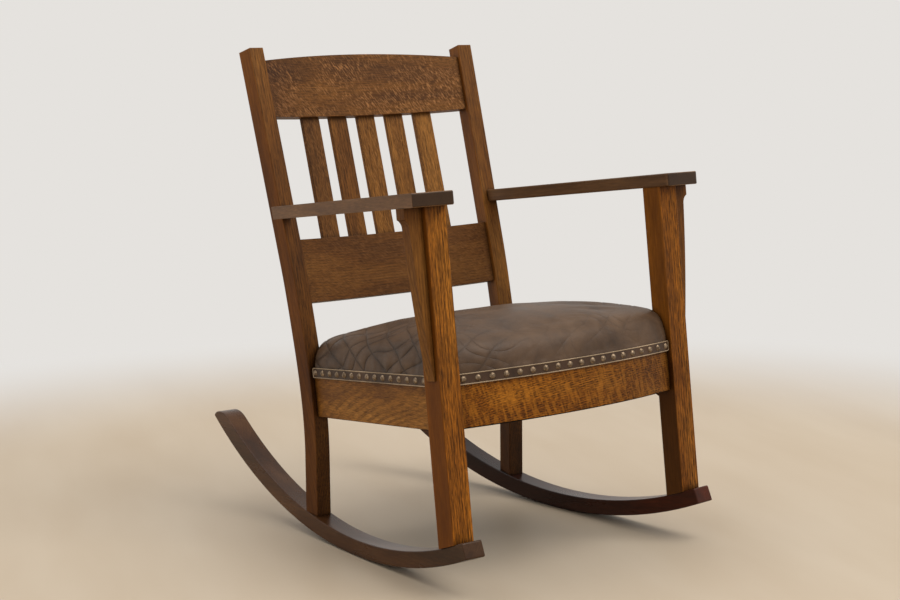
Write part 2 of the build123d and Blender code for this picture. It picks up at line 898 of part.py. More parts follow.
# Shanks of the nails, cut out of what they pass through
with BuildPart() as front_shanks:
    for index in range(front_nail_count):
        with Locations(front_nail_plane(index).location):
            Cylinder(
                nail_shank_diameter / 2 + fit_clearance,
                nail_shank_length + soft_clearance,
                align=(Align.CENTER, Align.CENTER, Align.MAX),
            )

with BuildPart() as left_shanks:
    for index in range(side_nail_count):
        with Locations(side_nail_plane(index).location):
            Cylinder(
                nail_shank_diameter / 2 + fit_clearance,
                nail_shank_length + soft_clearance,
                align=(Align.CENTER, Align.CENTER, Align.MAX),
            )

with BuildPart() as rear_shanks:
    for index in range(rear_nail_count):
        with Locations(rear_nail_plane(index).location):
            Cylinder(
                nail_shank_diameter / 2 + fit_clearance,
                nail_shank_length + soft_clearance,
                align=(Align.CENTER, Align.CENTER, Align.MAX),
            )

# Seat rails
with BuildPart() as front_seat_rail:
    with BuildSketch(frame_plane.offset(seat_rail_bottom)):
        add(bowed_strip(post_inner_front_x, -seat_rail_thickness, 0))
        make_face()
    extrude(amount=seat_rail_height)
    add(front_tenons(0))
    add(front_shanks.part, mode=Mode.SUBTRACT)
    add(screw_holes, mode=Mode.SUBTRACT)
    mirror(screw_holes, about=Plane.YZ, mode=Mode.SUBTRACT)
front_seat_rail.part.label = "front_seat_rail"

with BuildPart() as side_seat_rail_left:
    add(
        side_bar(
            0,
            side_run + seat_rail_thickness / 2,
            0,
            seat_rail_thickness,
            seat_rail_bottom,
            seat_rail_top,
        )
    )
    split(bisect_by=Plane(origin=at(0, post_back_v, 0), z_dir=frame_back), keep=Keep.TOP)
    split(
        bisect_by=Plane(origin=at(0, rear_seat_v + side_rail_past, 0), z_dir=frame_back),
        keep=Keep.BOTTOM,
    )
    add(rear_post_blank.part, mode=Mode.SUBTRACT)
    add(side_tenon_front(0))
    add(side_tenon_rear(0))
    add(left_shanks.part, mode=Mode.SUBTRACT)
    add(screw_holes, mode=Mode.SUBTRACT)
side_seat_rail_left.part.label = "side_seat_rail_left"

with BuildPart() as side_seat_rail_right:
    mirror(side_seat_rail_left.part, about=Plane.YZ)
side_seat_rail_right.part.label = "side_seat_rail_right"

with BuildPart() as rear_seat_rail:
    with Locations(
        frame_plane.location * Location((0, rear_rail_middle_v, seat_rail_bottom)),
    ):
        Box(
            2 * (rear_inner_x + rear_side_tenon_length),
            seat_rail_thickness,
            seat_rail_height,
            align=(Align.CENTER, Align.CENTER, Align.MIN),
        )
    add(both_rear_blanks.part, mode=Mode.SUBTRACT)
    add(rear_tenons(0))
    add(rear_shanks.part, mode=Mode.SUBTRACT)
rear_seat_rail.part.label = "rear_seat_rail"

# Knee blocks under the side rails, against the front posts
with BuildPart() as knee_block_left:
    with BuildSketch(side_view.offset((seat_rail_thickness - knee_thickness) / 2)):
        with BuildLine():
            Polyline(
                (-knee_length / 2, seat_rail_bottom),
                (knee_length, seat_rail_bottom),
                (-knee_length / 2, seat_rail_bottom - knee_drop * 3 / 2),
                close=True,
            )
        make_face()
    extrude(amount=knee_thickness)
    split(bisect_by=Plane(origin=at(0, post_back_v, 0), z_dir=frame_back), keep=Keep.TOP)
knee_block_left.part.label = "knee_block_left"

with BuildPart() as knee_block_right:
    mirror(knee_block_left.part, about=Plane.YZ)
knee_block_right.part.label = "knee_block_right"

# Corner blocks


def corner_triangle(x, v, forward):
    """Triangular prism that fills a left corner of the seat frame."""
    with BuildPart() as wedge:
        with BuildSketch(frame_plane.offset(block_bottom)):
            with BuildLine():
                Polyline(
                    (x, v),
                    (x + corner_block_leg, v),
                    (x, v + forward * corner_block_leg),
                    close=True,
                )
            make_face()
        extrude(amount=corner_block_height)
    return wedge.part


outside_rail = side_bar(
    -corner_block_leg,
    side_run + corner_block_leg,
    -corner_block_leg,
    seat_rail_thickness,
    seat_rail_bottom,
    seat_rail_top,
)

with BuildPart() as corner_block_front_left:
    add(corner_triangle(block_front_x, block_front_v, 1))
    with BuildSketch(frame_plane.offset(block_bottom)):
        add(bowed_strip(front_post_spread, -seat_rail_thickness, front_rail_bow))
        make_face()
    extrude(amount=corner_block_height, mode=Mode.SUBTRACT)
    add(front_post_blank.part, mode=Mode.SUBTRACT)
    add(outside_rail, mode=Mode.SUBTRACT)
    add(screw_holes, mode=Mode.SUBTRACT)
corner_block_front_left.part.label = "corner_block_front_left"

with BuildPart() as corner_block_front_right:
    mirror(corner_block_front_left.part, about=Plane.YZ)
corner_block_front_right.part.label = "corner_block_front_right"

with BuildPart() as corner_block_rear_left:
    add(corner_triangle(block_rear_x, block_rear_v, -1))
    add(rear_post_blank.part, mode=Mode.SUBTRACT)
    add(outside_rail, mode=Mode.SUBTRACT)
    add(screw_holes, mode=Mode.SUBTRACT)
corner_block_rear_left.part.label = "corner_block_rear_left"

with BuildPart() as corner_block_rear_right:
    mirror(corner_block_rear_left.part, about=Plane.YZ)
corner_block_rear_right.part.label = "corner_block_rear_right"

# Slats in the raked back, each turned to follow the bow


def slat_place(index):
    """Place of a slat's foot on the raked plane."""
    x = (index - (slat_count - 1) / 2) * slat_pitch
    swing = degrees(asin(x / back_bow_radius))
    depth = back_curve(x, slat_setback + slat_thickness / 2)
    return back_plane.location * Location((x, depth, lower_rail_top_h - slat_housing), (0, 0, -swing))


slat_length = crest_bottom_h - lower_rail_top_h + 2 * slat_housing
slats = []
for index in range(slat_count):
    with BuildPart() as back_slat:
        with Locations(slat_place(index)):
            Box(
                slat_width,
                slat_thickness,
                slat_length,
                align=(Align.CENTER, Align.CENTER, Align.MIN),
            )
    back_slat.part.label = f"back_slat_{index + 1}"
    slats.append(back_slat.part)

# Lower back rail and crest rail
with BuildPart() as lower_back_rail:
    add(
        back_bar(
            lower_inner_x + rear_side_tenon_length,
            0,
            back_rail_thickness,
            lower_rail_bottom_h,
            lower_rail_top_h,
        )
    )
    add(both_rear_blanks.part, mode=Mode.SUBTRACT)
    add(lower_tenons(0))
    for slat in slats:
        add(slat, mode=Mode.SUBTRACT)
lower_back_rail.part.label = "lower_back_rail"

crest_reach = crest_inner_x + rear_side_tenon_length
with BuildPart() as crest_rail:
    add(back_bar(crest_reach, 0, back_rail_thickness, crest_bottom_h, crest_end_h + crest_crown))
    with BuildSketch(back_view.offset(back_rail_thickness)):
        with BuildLine():
            ThreePointArc(
                (-crest_reach, crest_end_h), (0, crest_end_h + crest_crown), (crest_reach, crest_end_h)
            )
            Line((crest_reach, crest_end_h), (crest_reach, crest_end_h + 2 * crest_crown))
            Line(
                (crest_reach, crest_end_h + 2 * crest_crown),
                (-crest_reach, crest_end_h + 2 * crest_crown),
            )
            Line((-crest_reach, crest_end_h + 2 * crest_crown), (-crest_reach, crest_end_h))
        make_face()
    extrude(amount=-4 * back_rail_thickness, mode=Mode.SUBTRACT)
    add(both_rear_blanks.part, mode=Mode.SUBTRACT)
    add(crest_tenons(0))
    for slat in slats:
        add(slat, mode=Mode.SUBTRACT)
crest_rail.part.label = "crest_rail"

# Arms
with BuildPart() as arm_left:
    with BuildSketch(frame_plane.offset(arm_bottom)) as arm_outline:
        with BuildLine():
            Polyline(
                arm_front_outer,
                arm_front_inner,
                (
                    arm_tail_inner[0] + arm_past * (arm_tail_inner[0] - arm_front_inner[0])
                    / (arm_tail_inner[1] - arm_front_inner[1]),
                    arm_tail_inner[1] + arm_past,
                ),
                (
                    arm_tail_outer[0] + arm_past * arm_dir_x / arm_dir_v,
                    arm_tail_outer[1] + arm_past,
                ),
                close=True,
            )
        make_face()
        fillet(arm_outline.vertices().group_by(Axis.Y)[0], radius=arm_corner_round)
    extrude(amount=arm_thickness)
    split(bisect_by=arm_joint, keep=Keep.BOTTOM)
    fillet(
        arm_left.faces().sort_by(Axis.Z)[-1].edges() + arm_left.faces().sort_by(Axis.Z)[0].edges(),
        radius=arm_edge_round,
    )
    with Locations(frame_plane.location * Location((-post_middle_x, post_middle_v, arm_bottom))):
        Box(
            arm_tenon_size + 2 * fit_clearance,
            arm_tenon_size + 2 * fit_clearance,
            arm_tenon_height + fit_clearance,
            align=(Align.CENTER, Align.CENTER, Align.MIN),
            mode=Mode.SUBTRACT,
        )
    add(arm_dowel_holes, mode=Mode.SUBTRACT)
arm_left.part.label = "arm_left"

with BuildPart() as arm_right:
    mirror(arm_left.part, about=Plane.YZ)
arm_right.part.label = "arm_right"

# Corbels
corbel_neck_w = arm_bottom - corbel_neck_drop
corbel_head_w = arm_bottom - corbel_head_height
corbel_mid_w = (corbel_neck_w + corbel_tip_w) / 2
corbel_mid_reach = (corbel_neck_reach + corbel_tip_reach) / 2 + corbel_bulge
corbel_cove_reach = (corbel_head_reach + 2 * corbel_neck_reach) / 3
corbel_cove_w = (2 * corbel_head_w + corbel_neck_w) / 3

with BuildPart() as corbel_left:
    with BuildSketch(face_plane(post_front_v + corbel_front_setback)):
        with BuildLine():
            Line((-front_post_spread, arm_bottom), (-front_post_spread - corbel_head_reach, arm_bottom))
            Line(
                (-front_post_spread - corbel_head_reach, arm_bottom),
                (-front_post_spread - corbel_head_reach, corbel_head_w),
            )
            ThreePointArc(
                (-front_post_spread - corbel_head_reach, corbel_head_w),
                (-front_post_spread - corbel_cove_reach, corbel_cove_w),
                (-front_post_spread - corbel_neck_reach, corbel_neck_w),
            )
            ThreePointArc(
                (-front_post_spread - corbel_neck_reach, corbel_neck_w),
                (-front_post_spread - corbel_mid_reach, corbel_mid_w),
                (-front_post_spread - corbel_tip_reach, corbel_tip_w),
            )
            Line(
                (-front_post_spread - corbel_tip_reach, corbel_tip_w), (-front_post_spread, corbel_tip_w)
            )
            Line((-front_post_spread, corbel_tip_w), (-front_post_spread, arm_bottom))
        make_face()
    extrude(amount=-corbel_thickness)
corbel_left.part.label = "corbel_left"

with BuildPart() as corbel_right:
    mirror(corbel_left.part, about=Plane.YZ)
corbel_right.part.label = "corbel_right"

# Webbing, woven over and under below the rails
web_seat_back_v = rear_rail_back_v - web_tack_inset
web_middle_v = (front_rail_v(0, -seat_rail_thickness) + rear_rail_front_v) / 2


def strap_profile(start, end, crossings):
    """Closed side outline of a strap that rises over some crossings."""
    upper = [(start, web_thickness)]
    for place, over in crossings:
        if over:
            half = web_width / 2
            upper.append((place - half - web_rise_length, web_thickness))
            upper.append((place - half, 2 * web_thickness))
            upper.append((place + half, 2 * web_thickness))
            upper.append((place + half + web_rise_length, web_thickness))
    upper.append((end, web_thickness))
    lower = [(place, level - web_thickness) for place, level in reversed(upper)]
    return upper + lower


cross_places = [
    web_middle_v + (row - (web_cross_count - 1) / 2) * web_cross_pitch for row in range(web_cross_count)
]
long_places = [(column - (web_long_count - 1) / 2) * web_long_pitch for column in range(web_long_count)]


def strap_front_v(column):
    """Front end of a long strap, on the front rail."""
    reach = abs(long_places[column]) + web_width / 2
    return front_rail_v(reach) + web_tack_inset


with BuildPart() as webbing_long:
    for column in range(web_long_count):
        crossings = [
            (cross_places[row], (row + column) % 2 == 0) for row in range(web_cross_count)
        ]
        strap_plane = Plane(
            origin=at(long_places[column] + web_width / 2, 0, seat_rail_bottom),
            x_dir=frame_back,
            z_dir=(-1, 0, 0),
        )
        with BuildSketch(strap_plane):
            with BuildLine():
                Polyline(
                    *strap_profile(strap_front_v(column), web_seat_back_v, crossings), close=True
                )
            make_face()
        extrude(amount=web_width)
webbing_long.part.label = "webbing_long"

with BuildPart() as webbing_cross:
    for row in range(web_cross_count):
        crossings = [
            (long_places[column], (row + column) % 2 == 1) for column in range(web_long_count)
        ]
        run = (cross_places[row] + web_width / 2 - post_back_v) / cos(side_angle)
        reach = side_front_x - run * sin(side_angle) - web_tack_inset
        strap_plane = Plane(
            origin=at(0, cross_places[row] - web_width / 2, seat_rail_bottom),
            x_dir=(1, 0, 0),
            z_dir=frame_back,
        )
        with BuildSketch(strap_plane):
            with BuildLine():
                Polyline(*strap_profile(-reach, reach, crossings), close=True)
            make_face()
        extrude(amount=web_width)
webbing_cross.part.label = "webbing_cross"

# Stuffing and leather cover: domed forms with drawn-in sides
pad_bottom = seat_rail_top


def seat_side_x(v, grow):
    """Half width of the seat at depth v, grown beyond the side rail's face."""
    return side_front_x - (v - post_back_v) * tan(side_angle) + grow / cos(side_angle)


def seat_section(grow):
    """Closed outline of the seat in plan, grown or drawn in beyond the rails."""
    near_v = front_rail_v(side_front_x + grow, grow)
    near_v = front_rail_v(seat_side_x(near_v, grow), grow)
    near_x = seat_side_x(near_v, grow)
    far_v = rear_rail_back_v + grow
    far_x = seat_side_x(far_v, grow)
    with BuildLine() as outline:
        ThreePointArc((-near_x, near_v), (0, front_rail_v(0, grow)), (near_x, near_v))
        Line((near_x, near_v), (far_x, far_v))
        Line((far_x, far_v), (-far_x, far_v))
        Line((-far_x, far_v), (-near_x, near_v))
    return outline.line


def domed_form(bottom, top, out):
    """Domed solid over the seat frame."""
    with BuildPart() as dome:
        for inset_share, rise_share in zip(cushion_inset_shares, cushion_rise_shares):
            level = bottom + (top - bottom) * rise_share
            with BuildSketch(frame_plane.offset(level)) as section:
                add(seat_section(out - cushion_top_inset * inset_share))
                make_face()
                fillet(section.vertices(), radius=cushion_corner_round)
        loft(ruled=True)
    return dome.part


def post_clear(front_gap, rear_gap):
    """Square notches round the four posts."""
    with BuildPart() as notches:
        for side in (-1, 1):
            with Locations(
                frame_plane.location * Location((side * post_middle_x, post_middle_v, seat_rail_bottom)),
            ):
                Box(
                    front_post_size + 2 * front_gap,
                    front_post_size + 2 * front_gap,
                    2 * seat_crown + seat_rail_height,
                    align=(Align.CENTER, Align.CENTER, Align.MIN),
                )
            inner = post_inner_x(rear_seat_v, seat_rail_top) - rear_gap
            with Locations(
                frame_plane.location
                * Location((side * inner, rear_seat_v - rear_gap, seat_rail_bottom)),
            ):
                Box(
                    2 * rear_post_width,
                    2 * rear_post_depth,
                    2 * seat_crown + seat_rail_height,
                    align=(Align.MIN if side > 0 else Align.MAX, Align.MIN, Align.MIN),
                )
    return notches.part


def spring_room(out):
    """Flat-topped form over the springs, grown by out on sides and top."""
    with BuildPart() as room:
        for draw, level in (
            (0, 0),
            (spring_room_draw / 3, spring_room_shoulder),
            (spring_room_draw, spring_room_height),
        ):
            rise = level + (out if level > 0 else 0)
            with BuildSketch(frame_plane.offset(seat_rail_top + rise)) as section:
                add(seat_section(out - spring_room_inset - draw))
                make_face()
                fillet(section.vertices(), radius=cushion_corner_round)
        loft(ruled=True)
    return room.part


spring_cloth_gap = spring_cloth_thickness + soft_clearance
with BuildPart() as spring_cloth:
    add(spring_room(spring_cloth_thickness))
    add(spring_room(0), mode=Mode.SUBTRACT)
    add(
        post_clear(
            leather_thickness + 2 * soft_clearance, leather_thickness + 4 * soft_clearance
        ),
        mode=Mode.SUBTRACT,
    )
spring_cloth.part.label = "spring_cloth"

with BuildPart() as stuffing_form:
    add(domed_form(pad_bottom, pad_bottom + seat_crown - leather_thickness, 0))
    add(
        post_clear(leather_thickness + soft_clearance, leather_thickness + 3 * soft_clearance),
        mode=Mode.SUBTRACT,
    )

with BuildPart() as seat_stuffing:
    add(
        domed_form(
            pad_bottom, pad_bottom + seat_crown - leather_thickness - soft_clearance, -soft_clearance
        )
    )
    add(
        post_clear(
            leather_thickness + 2 * soft_clearance, leather_thickness + 4 * soft_clearance
        ),
        mode=Mode.SUBTRACT,
    )
    add(spring_room(spring_cloth_gap), mode=Mode.SUBTRACT)
seat_stuffing.part.label = "seat_stuffing"

# Coil springs on the crossings of the webbing
spring_bottom = seat_rail_bottom + spring_wire / 2 + fit_clearance
spring_top = seat_rail_top + spring_room_height - spring_wire / 2 - fit_clearance
with BuildPart() as spring_blank:
    with BuildLine() as coil_path:
        Helix(
            pitch=(spring_top - spring_bottom) / spring_turns,
            height=spring_top - spring_bottom,
            radius=(spring_diameter - spring_wire) / 2,
        )
    with BuildSketch(coil_path.line ^ 0):
        Circle(spring_wire / 2)
    sweep()

with BuildPart() as seat_springs:
    for place_v in cross_places:
        for place_x in long_places:
            with Locations(
                frame_plane.location * Location((place_x, place_v, spring_bottom)),
            ):
                add(spring_blank.part)
seat_springs.part.label = "seat_springs"

# Dust cover, a thin sheet below the webbing
web_low = seat_rail_bottom - 2 * web_thickness - fit_clearance
with BuildPart() as dust_cover:
    with BuildSketch(frame_plane.offset(web_low - dust_cover_thickness)):
        add(seat_section(-dust_cover_inset))
        make_face()
    extrude(amount=dust_cover_thickness)
    for side in (-1, 1):
        with Locations(
            frame_plane.location
            * Location((side * front_post_spread, post_front_v - front_rail_bow, web_low)),
        ):
            Box(
                2 * (front_post_size + soft_clearance),
                front_rail_bow + front_post_size + knee_length + soft_clearance,
                2 * seat_rail_thickness,
                align=(Align.CENTER, Align.MIN, Align.CENTER),
                mode=Mode.SUBTRACT,
            )
        with Locations(
            frame_plane.location
            * Location((side * post_inner_x(rear_seat_v, seat_rail_bottom), rear_seat_v, web_low)),
        ):
            Box(
                2 * rear_post_width,
                2 * rear_post_depth,
                2 * seat_rail_thickness,
                align=(Align.CENTER, Align.MIN, Align.CENTER),
                mode=Mode.SUBTRACT,
            )
dust_cover.part.label = "dust_cover"

skirt_bottom = seat_rail_top - skirt_depth
with BuildPart() as seat_leather:
    add(domed_form(pad_bottom, pad_bottom + seat_crown, skirt_out))
    with BuildSketch(frame_plane.offset(skirt_bottom)) as skirt_outline:
        add(seat_section(skirt_out))
        make_face()
        fillet(skirt_outline.vertices(), radius=cushion_corner_round)
    extrude(amount=pad_bottom - skirt_bottom)
    with BuildSketch(frame_plane.offset(skirt_bottom - cut_overrun)):
        add(seat_section(fit_clearance))
        make_face()
    extrude(amount=pad_bottom - skirt_bottom + cut_overrun, mode=Mode.SUBTRACT)
    add(stuffing_form.part, mode=Mode.SUBTRACT)
    add(post_clear(soft_clearance, 3 * soft_clearance), mode=Mode.SUBTRACT)
    add(front_shanks.part, mode=Mode.SUBTRACT)
    add(left_shanks.part, mode=Mode.SUBTRACT)
    mirror(left_shanks.part, about=Plane.YZ, mode=Mode.SUBTRACT)
    add(rear_shanks.part, mode=Mode.SUBTRACT)
seat_leather.part.label = "seat_leather"

# Gimp bands over the leather's lower edge


def band_face(plane, start, end, bottom, top):
    """Cut that leaves a band with rounded ends."""
    with BuildPart() as band:
        with BuildSketch(plane) as outline:
            with Locations(((start + end) / 2, (bottom + top) / 2)):
                RectangleRounded(end - start, top - bottom, gimp_end_round)
        extrude(amount=front_rail_bow + 2 * cover_out)
    return band.part


with BuildPart() as gimp_front:
    with BuildSketch(frame_plane.offset(gimp_front_bottom)):
        add(bowed_strip(gimp_front_reach, gimp_inside, cover_out))
        make_face()
    extrude(amount=gimp_width)
    add(
        band_face(
            face_plane(front_rail_end_v + cover_out),
            -gimp_front_reach,
            gimp_front_reach,
            gimp_front_bottom,
            gimp_front_top,
        ),
        mode=Mode.INTERSECT,
    )
    add(front_shanks.part, mode=Mode.SUBTRACT)
gimp_front.part.label = "gimp_front"

with BuildPart() as gimp_left:
    with BuildSketch(side_view.offset(-cover_out)):
        with Locations(((gimp_side_start + gimp_side_end) / 2, (gimp_side_top + gimp_side_bottom) / 2)):
            RectangleRounded(gimp_side_end - gimp_side_start, gimp_width, gimp_end_round)
    extrude(amount=gimp_thickness)
    add(left_shanks.part, mode=Mode.SUBTRACT)
gimp_left.part.label = "gimp_left"

with BuildPart() as gimp_right:
    mirror(gimp_left.part, about=Plane.YZ)
gimp_right.part.label = "gimp_right"

with BuildPart() as gimp_rear:
    with BuildSketch(face_plane(rear_rail_back_v + cover_out)):
        with Locations((0, (gimp_side_top + gimp_side_bottom) / 2)):
            RectangleRounded(2 * rear_gimp_reach, gimp_width, gimp_end_round)
    extrude(amount=gimp_thickness)
    add(rear_shanks.part, mode=Mode.SUBTRACT)
gimp_rear.part.label = "gimp_rear"

finished = [
    front_post_left.part,
    front_post_right.part,
    rear_post_left.part,
    rear_post_right.part,
    rocker_left.part,
    rocker_right.part,
    front_seat_rail.part,
    side_seat_rail_left.part,
    side_seat_rail_right.part,
    rear_seat_rail.part,
    knee_block_left.part,
    knee_block_right.part,
    corner_block_front_left.part,
    corner_block_front_right.part,
    corner_block_rear_left.part,
    corner_block_rear_right.part,
    lower_back_rail.part,
    crest_rail.part,
    arm_left.part,
    arm_right.part,
    corbel_left.part,
    corbel_right.part,
    arm_dowels.part,
    leg_dowels.part,
    block_screws.part,
    nails_front.part,
    nails_left.part,
    nails_right.part,
    nails_rear.part,
    webbing_long.part,
    webbing_cross.part,
    seat_stuffing.part,
    seat_leather.part,
    gimp_front.part,
    gimp_left.part,
    gimp_right.part,
    gimp_rear.part,
    spring_cloth.part,
    seat_springs.part,
    dust_cover.part,
]
os.makedirs("parts", exist_ok=True)
for piece in finished + slats:
    export_step(piece, f"parts/{piece.label}.step")
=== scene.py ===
import bmesh
import bpy
from math import asin, cos, pi, radians, sin, sqrt, tan
from mathutils import Matrix, Vector, noise


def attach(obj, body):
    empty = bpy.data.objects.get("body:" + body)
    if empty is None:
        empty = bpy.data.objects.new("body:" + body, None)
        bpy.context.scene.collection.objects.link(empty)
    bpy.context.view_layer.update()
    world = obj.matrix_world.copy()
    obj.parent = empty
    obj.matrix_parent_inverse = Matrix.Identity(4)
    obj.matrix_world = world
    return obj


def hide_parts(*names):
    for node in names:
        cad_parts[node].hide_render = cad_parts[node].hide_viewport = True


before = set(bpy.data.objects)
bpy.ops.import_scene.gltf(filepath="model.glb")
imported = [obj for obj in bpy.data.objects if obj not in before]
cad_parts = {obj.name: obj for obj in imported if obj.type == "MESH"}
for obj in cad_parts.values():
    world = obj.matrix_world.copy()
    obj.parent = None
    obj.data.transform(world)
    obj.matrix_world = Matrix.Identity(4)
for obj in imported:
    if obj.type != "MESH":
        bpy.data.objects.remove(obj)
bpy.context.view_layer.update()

# Oak rocking chair with a leather seat, in metres, +Z up, the sitter facing -Y.
# Seat, posts and arms stand in a chair frame that leans back by PITCH. In it
# x runs across the chair, v to the back and w up.

PITCH = radians(6.04)
RAKE = radians(9.08)
SHIFT = 0.09605


def at(x, v, w):
    """Point of the chair frame in floor coordinates."""
    y = v * cos(PITCH) + w * sin(PITCH) - SHIFT
    z = w * cos(PITCH) - v * sin(PITCH)
    return Vector((x, y, z))


def frame_spot(place):
    """Chair-frame coordinates of a floor point, the other way round from at()."""
    y = place.y + SHIFT
    v = y * cos(PITCH) - place.z * sin(PITCH)
    w = y * sin(PITCH) + place.z * cos(PITCH)
    return place.x, v, w


def held_between(low, value, high):
    """Value kept between a low and a high limit."""
    return min(high, max(low, value))


def add_piece(name, data):
    """New object in the scene."""
    piece = bpy.data.objects.new(name, data)
    bpy.context.collection.objects.link(piece)
    return piece


def mesh_piece(name, mesh):
    """New object from a finished bmesh."""
    data = bpy.data.meshes.new(name)
    mesh.to_mesh(data)
    mesh.free()
    return add_piece(name, data)


# Camera at the photograph's view
CAMERA_PLACE = (-1.9441, -2.4324 - SHIFT, 0.8607)
CAMERA_HEADING = radians(38.054)
CAMERA_DOWN = radians(7.922)
CAMERA_ROLL = radians(-1.1186)
CAMERA_LENS = 69.56
SENSOR_WIDTH = 36.0
FARTHEST = 60.0


def make_camera():
    """Camera placed and turned as in the photograph."""
    data = bpy.data.cameras.new("camera")
    data.sensor_width = SENSOR_WIDTH
    data.lens = CAMERA_LENS
    data.clip_end = FARTHEST
    camera = add_piece("camera", data)
    ahead = Vector((
        sin(CAMERA_HEADING) * cos(CAMERA_DOWN),
        cos(CAMERA_HEADING) * cos(CAMERA_DOWN),
        -sin(CAMERA_DOWN),
    ))
    level_side = Vector((cos(CAMERA_HEADING), -sin(CAMERA_HEADING), 0))
    level_up = level_side.cross(ahead)
    side = level_side * cos(CAMERA_ROLL) + level_up * sin(CAMERA_ROLL)
    up = level_up * cos(CAMERA_ROLL) - level_side * sin(CAMERA_ROLL)
    turn = Matrix((side, up, -ahead)).transposed().to_4x4()
    camera.matrix_world = Matrix.Translation(CAMERA_PLACE) @ turn
    bpy.context.scene.camera = camera


make_camera()


# Colours
def linear(red, green, blue):
    """Colour as the eye sees it, given in 0 to 255, for a shader."""
    out = []
    for value in (red, green, blue):
        c = value / 255
        out.append(c / 12.92 if c <= 0.04045 else ((c + 0.055) / 1.055) ** 2.4)
    return (out[0], out[1], out[2], 1.0)


def toned(colour, share, lift=0.0):
    """Colour made darker or lighter by a share."""
    return tuple([min(1.0, c * share + lift) for c in colour[:3]] + [1.0])


# Shader trees
class Net:
    """Adds, sets and links the nodes of one shader tree."""

    def __init__(self, tree, output):
        self.tree = tree
        self.tree.nodes.clear()
        self.out = self.add(output)

    def add(self, kind, **values):
        """New node with its properties set."""
        node = self.tree.nodes.new(kind)
        for key, value in values.items():
            setattr(node, key, value)
        return node

    def put(self, socket, value):
        """Sets a socket to a value, or links another socket to it."""
        if isinstance(value, bpy.types.NodeSocket):
            self.tree.links.new(value, socket)
        else:
            socket.default_value = value

    def math(self, how, first, second=0.0, third=0.0):
        """Math node's result."""
        node = self.add("ShaderNodeMath", operation=how)
        self.put(node.inputs[0], first)
        self.put(node.inputs[1], second)
        self.put(node.inputs[2], third)
        return node.outputs[0]

    def plus(self, first, second):
        """Sum of two values."""
        return self.math("ADD", first, second)

    def minus(self, first, second):
        """Difference of two values."""
        return self.math("SUBTRACT", first, second)

    def times(self, first, second):
        """Product of two values."""
        return self.math("MULTIPLY", first, second)

    def scaled(self, value, scale, offset):
        """Value times scale plus offset."""
        return self.math("MULTIPLY_ADD", value, scale, offset)

    def part(self, vector, axis):
        """One coordinate of a vector."""
        node = self.add("ShaderNodeSeparateXYZ")
        self.put(node.inputs[0], vector)
        return node.outputs[axis]

    def dot(self, first, second):
        """Dot product of two vectors."""
        node = self.add("ShaderNodeVectorMath", operation="DOT_PRODUCT")
        self.put(node.inputs[0], first)
        self.put(node.inputs[1], second)
        return node.outputs["Value"]

    def ramp(self, value, stops, smooth=False):
        """Colour ramp over a value; each stop is a place and a colour or a grey."""
        node = self.add("ShaderNodeValToRGB")
        node.color_ramp.interpolation = "EASE" if smooth else "LINEAR"
        ends = node.color_ramp.elements
        while len(ends) > 1:
            ends.remove(ends[-1])
        for index, (place, colour) in enumerate(stops):
            end = ends[0] if index == 0 else ends.new(place)
            end.position = place
            end.color = colour if isinstance(colour, tuple) else (colour, colour, colour, 1)
        self.put(node.inputs[0], value)
        return node.outputs[0]

    def mix(self, share, first, second, how="MIX"):
        """Mix of two colours."""
        node = self.add("ShaderNodeMix", data_type="RGBA", blend_type=how)
        self.put(node.inputs[0], share)
        self.put(node.inputs[6], first)
        self.put(node.inputs[7], second)
        return node.outputs[2]

    def tinted(self, share, colour, tint):
        """Colour that takes a tint by a share."""
        return self.mix(share, colour, self.mix(1.0, colour, tint, "MULTIPLY"))

    def blend(self, share, first, second):
        """Mix of two shaders."""
        node = self.add("ShaderNodeMixShader")
        self.put(node.inputs[0], share)
        self.put(node.inputs[1], first)
        self.put(node.inputs[2], second)
        return node.outputs[0]

    def noise(self, place, scale, detail=3.0, rough=0.5, bend=0.0):
        """Noise texture's value."""
        node = self.add("ShaderNodeTexNoise")
        self.put(node.inputs["Vector"], place)
        node.inputs["Scale"].default_value = scale
        node.inputs["Detail"].default_value = detail
        node.inputs["Roughness"].default_value = rough
        node.inputs["Distortion"].default_value = bend
        return node.outputs[0]

    def place(self, turns=(0, 0, 0), stretch=(1, 1, 1), shift=(0, 0, 0), source=None):
        """Object coordinates, turned, then stretched and shifted."""
        if source is None:
            source = self.add("ShaderNodeTexCoord").outputs["Object"]
        first = self.add("ShaderNodeMapping")
        self.put(first.inputs["Vector"], source)
        first.inputs["Rotation"].default_value = turns
        second = self.add("ShaderNodeMapping")
        self.put(second.inputs["Vector"], first.outputs[0])
        second.inputs["Scale"].default_value = stretch
        second.inputs["Location"].default_value = shift
        return second.outputs[0]

    def bump(self, height, strength, depth, normal=None):
        """Bump from a height."""
        node = self.add("ShaderNodeBump")
        node.inputs["Strength"].default_value = strength
        node.inputs["Distance"].default_value = depth
        self.put(node.inputs["Height"], height)
        if normal is not None:
            self.put(node.inputs["Normal"], normal)
        return node.outputs[0]


# Inputs of a surface under short names
SURFACE = {
    "colour": "Base Color",
    "metal": "Metallic",
    "rough": "Roughness",
    "shine": "Specular IOR Level",
    "normal": "Normal",
}


class Skin(Net):
    """Material with one surface."""

    def __init__(self, name):
        self.material = bpy.data.materials.new(name)
        self.material.use_nodes = True
        super().__init__(self.material.node_tree, "ShaderNodeOutputMaterial")
        self.skin = self.add("ShaderNodeBsdfPrincipled")
        self.put(self.out.inputs[0], self.skin.outputs[0])

    def surface(self, **values):
        """Sets or links the surface's inputs."""
        for key, value in values.items():
            self.put(self.skin.inputs[SURFACE[key]], value)


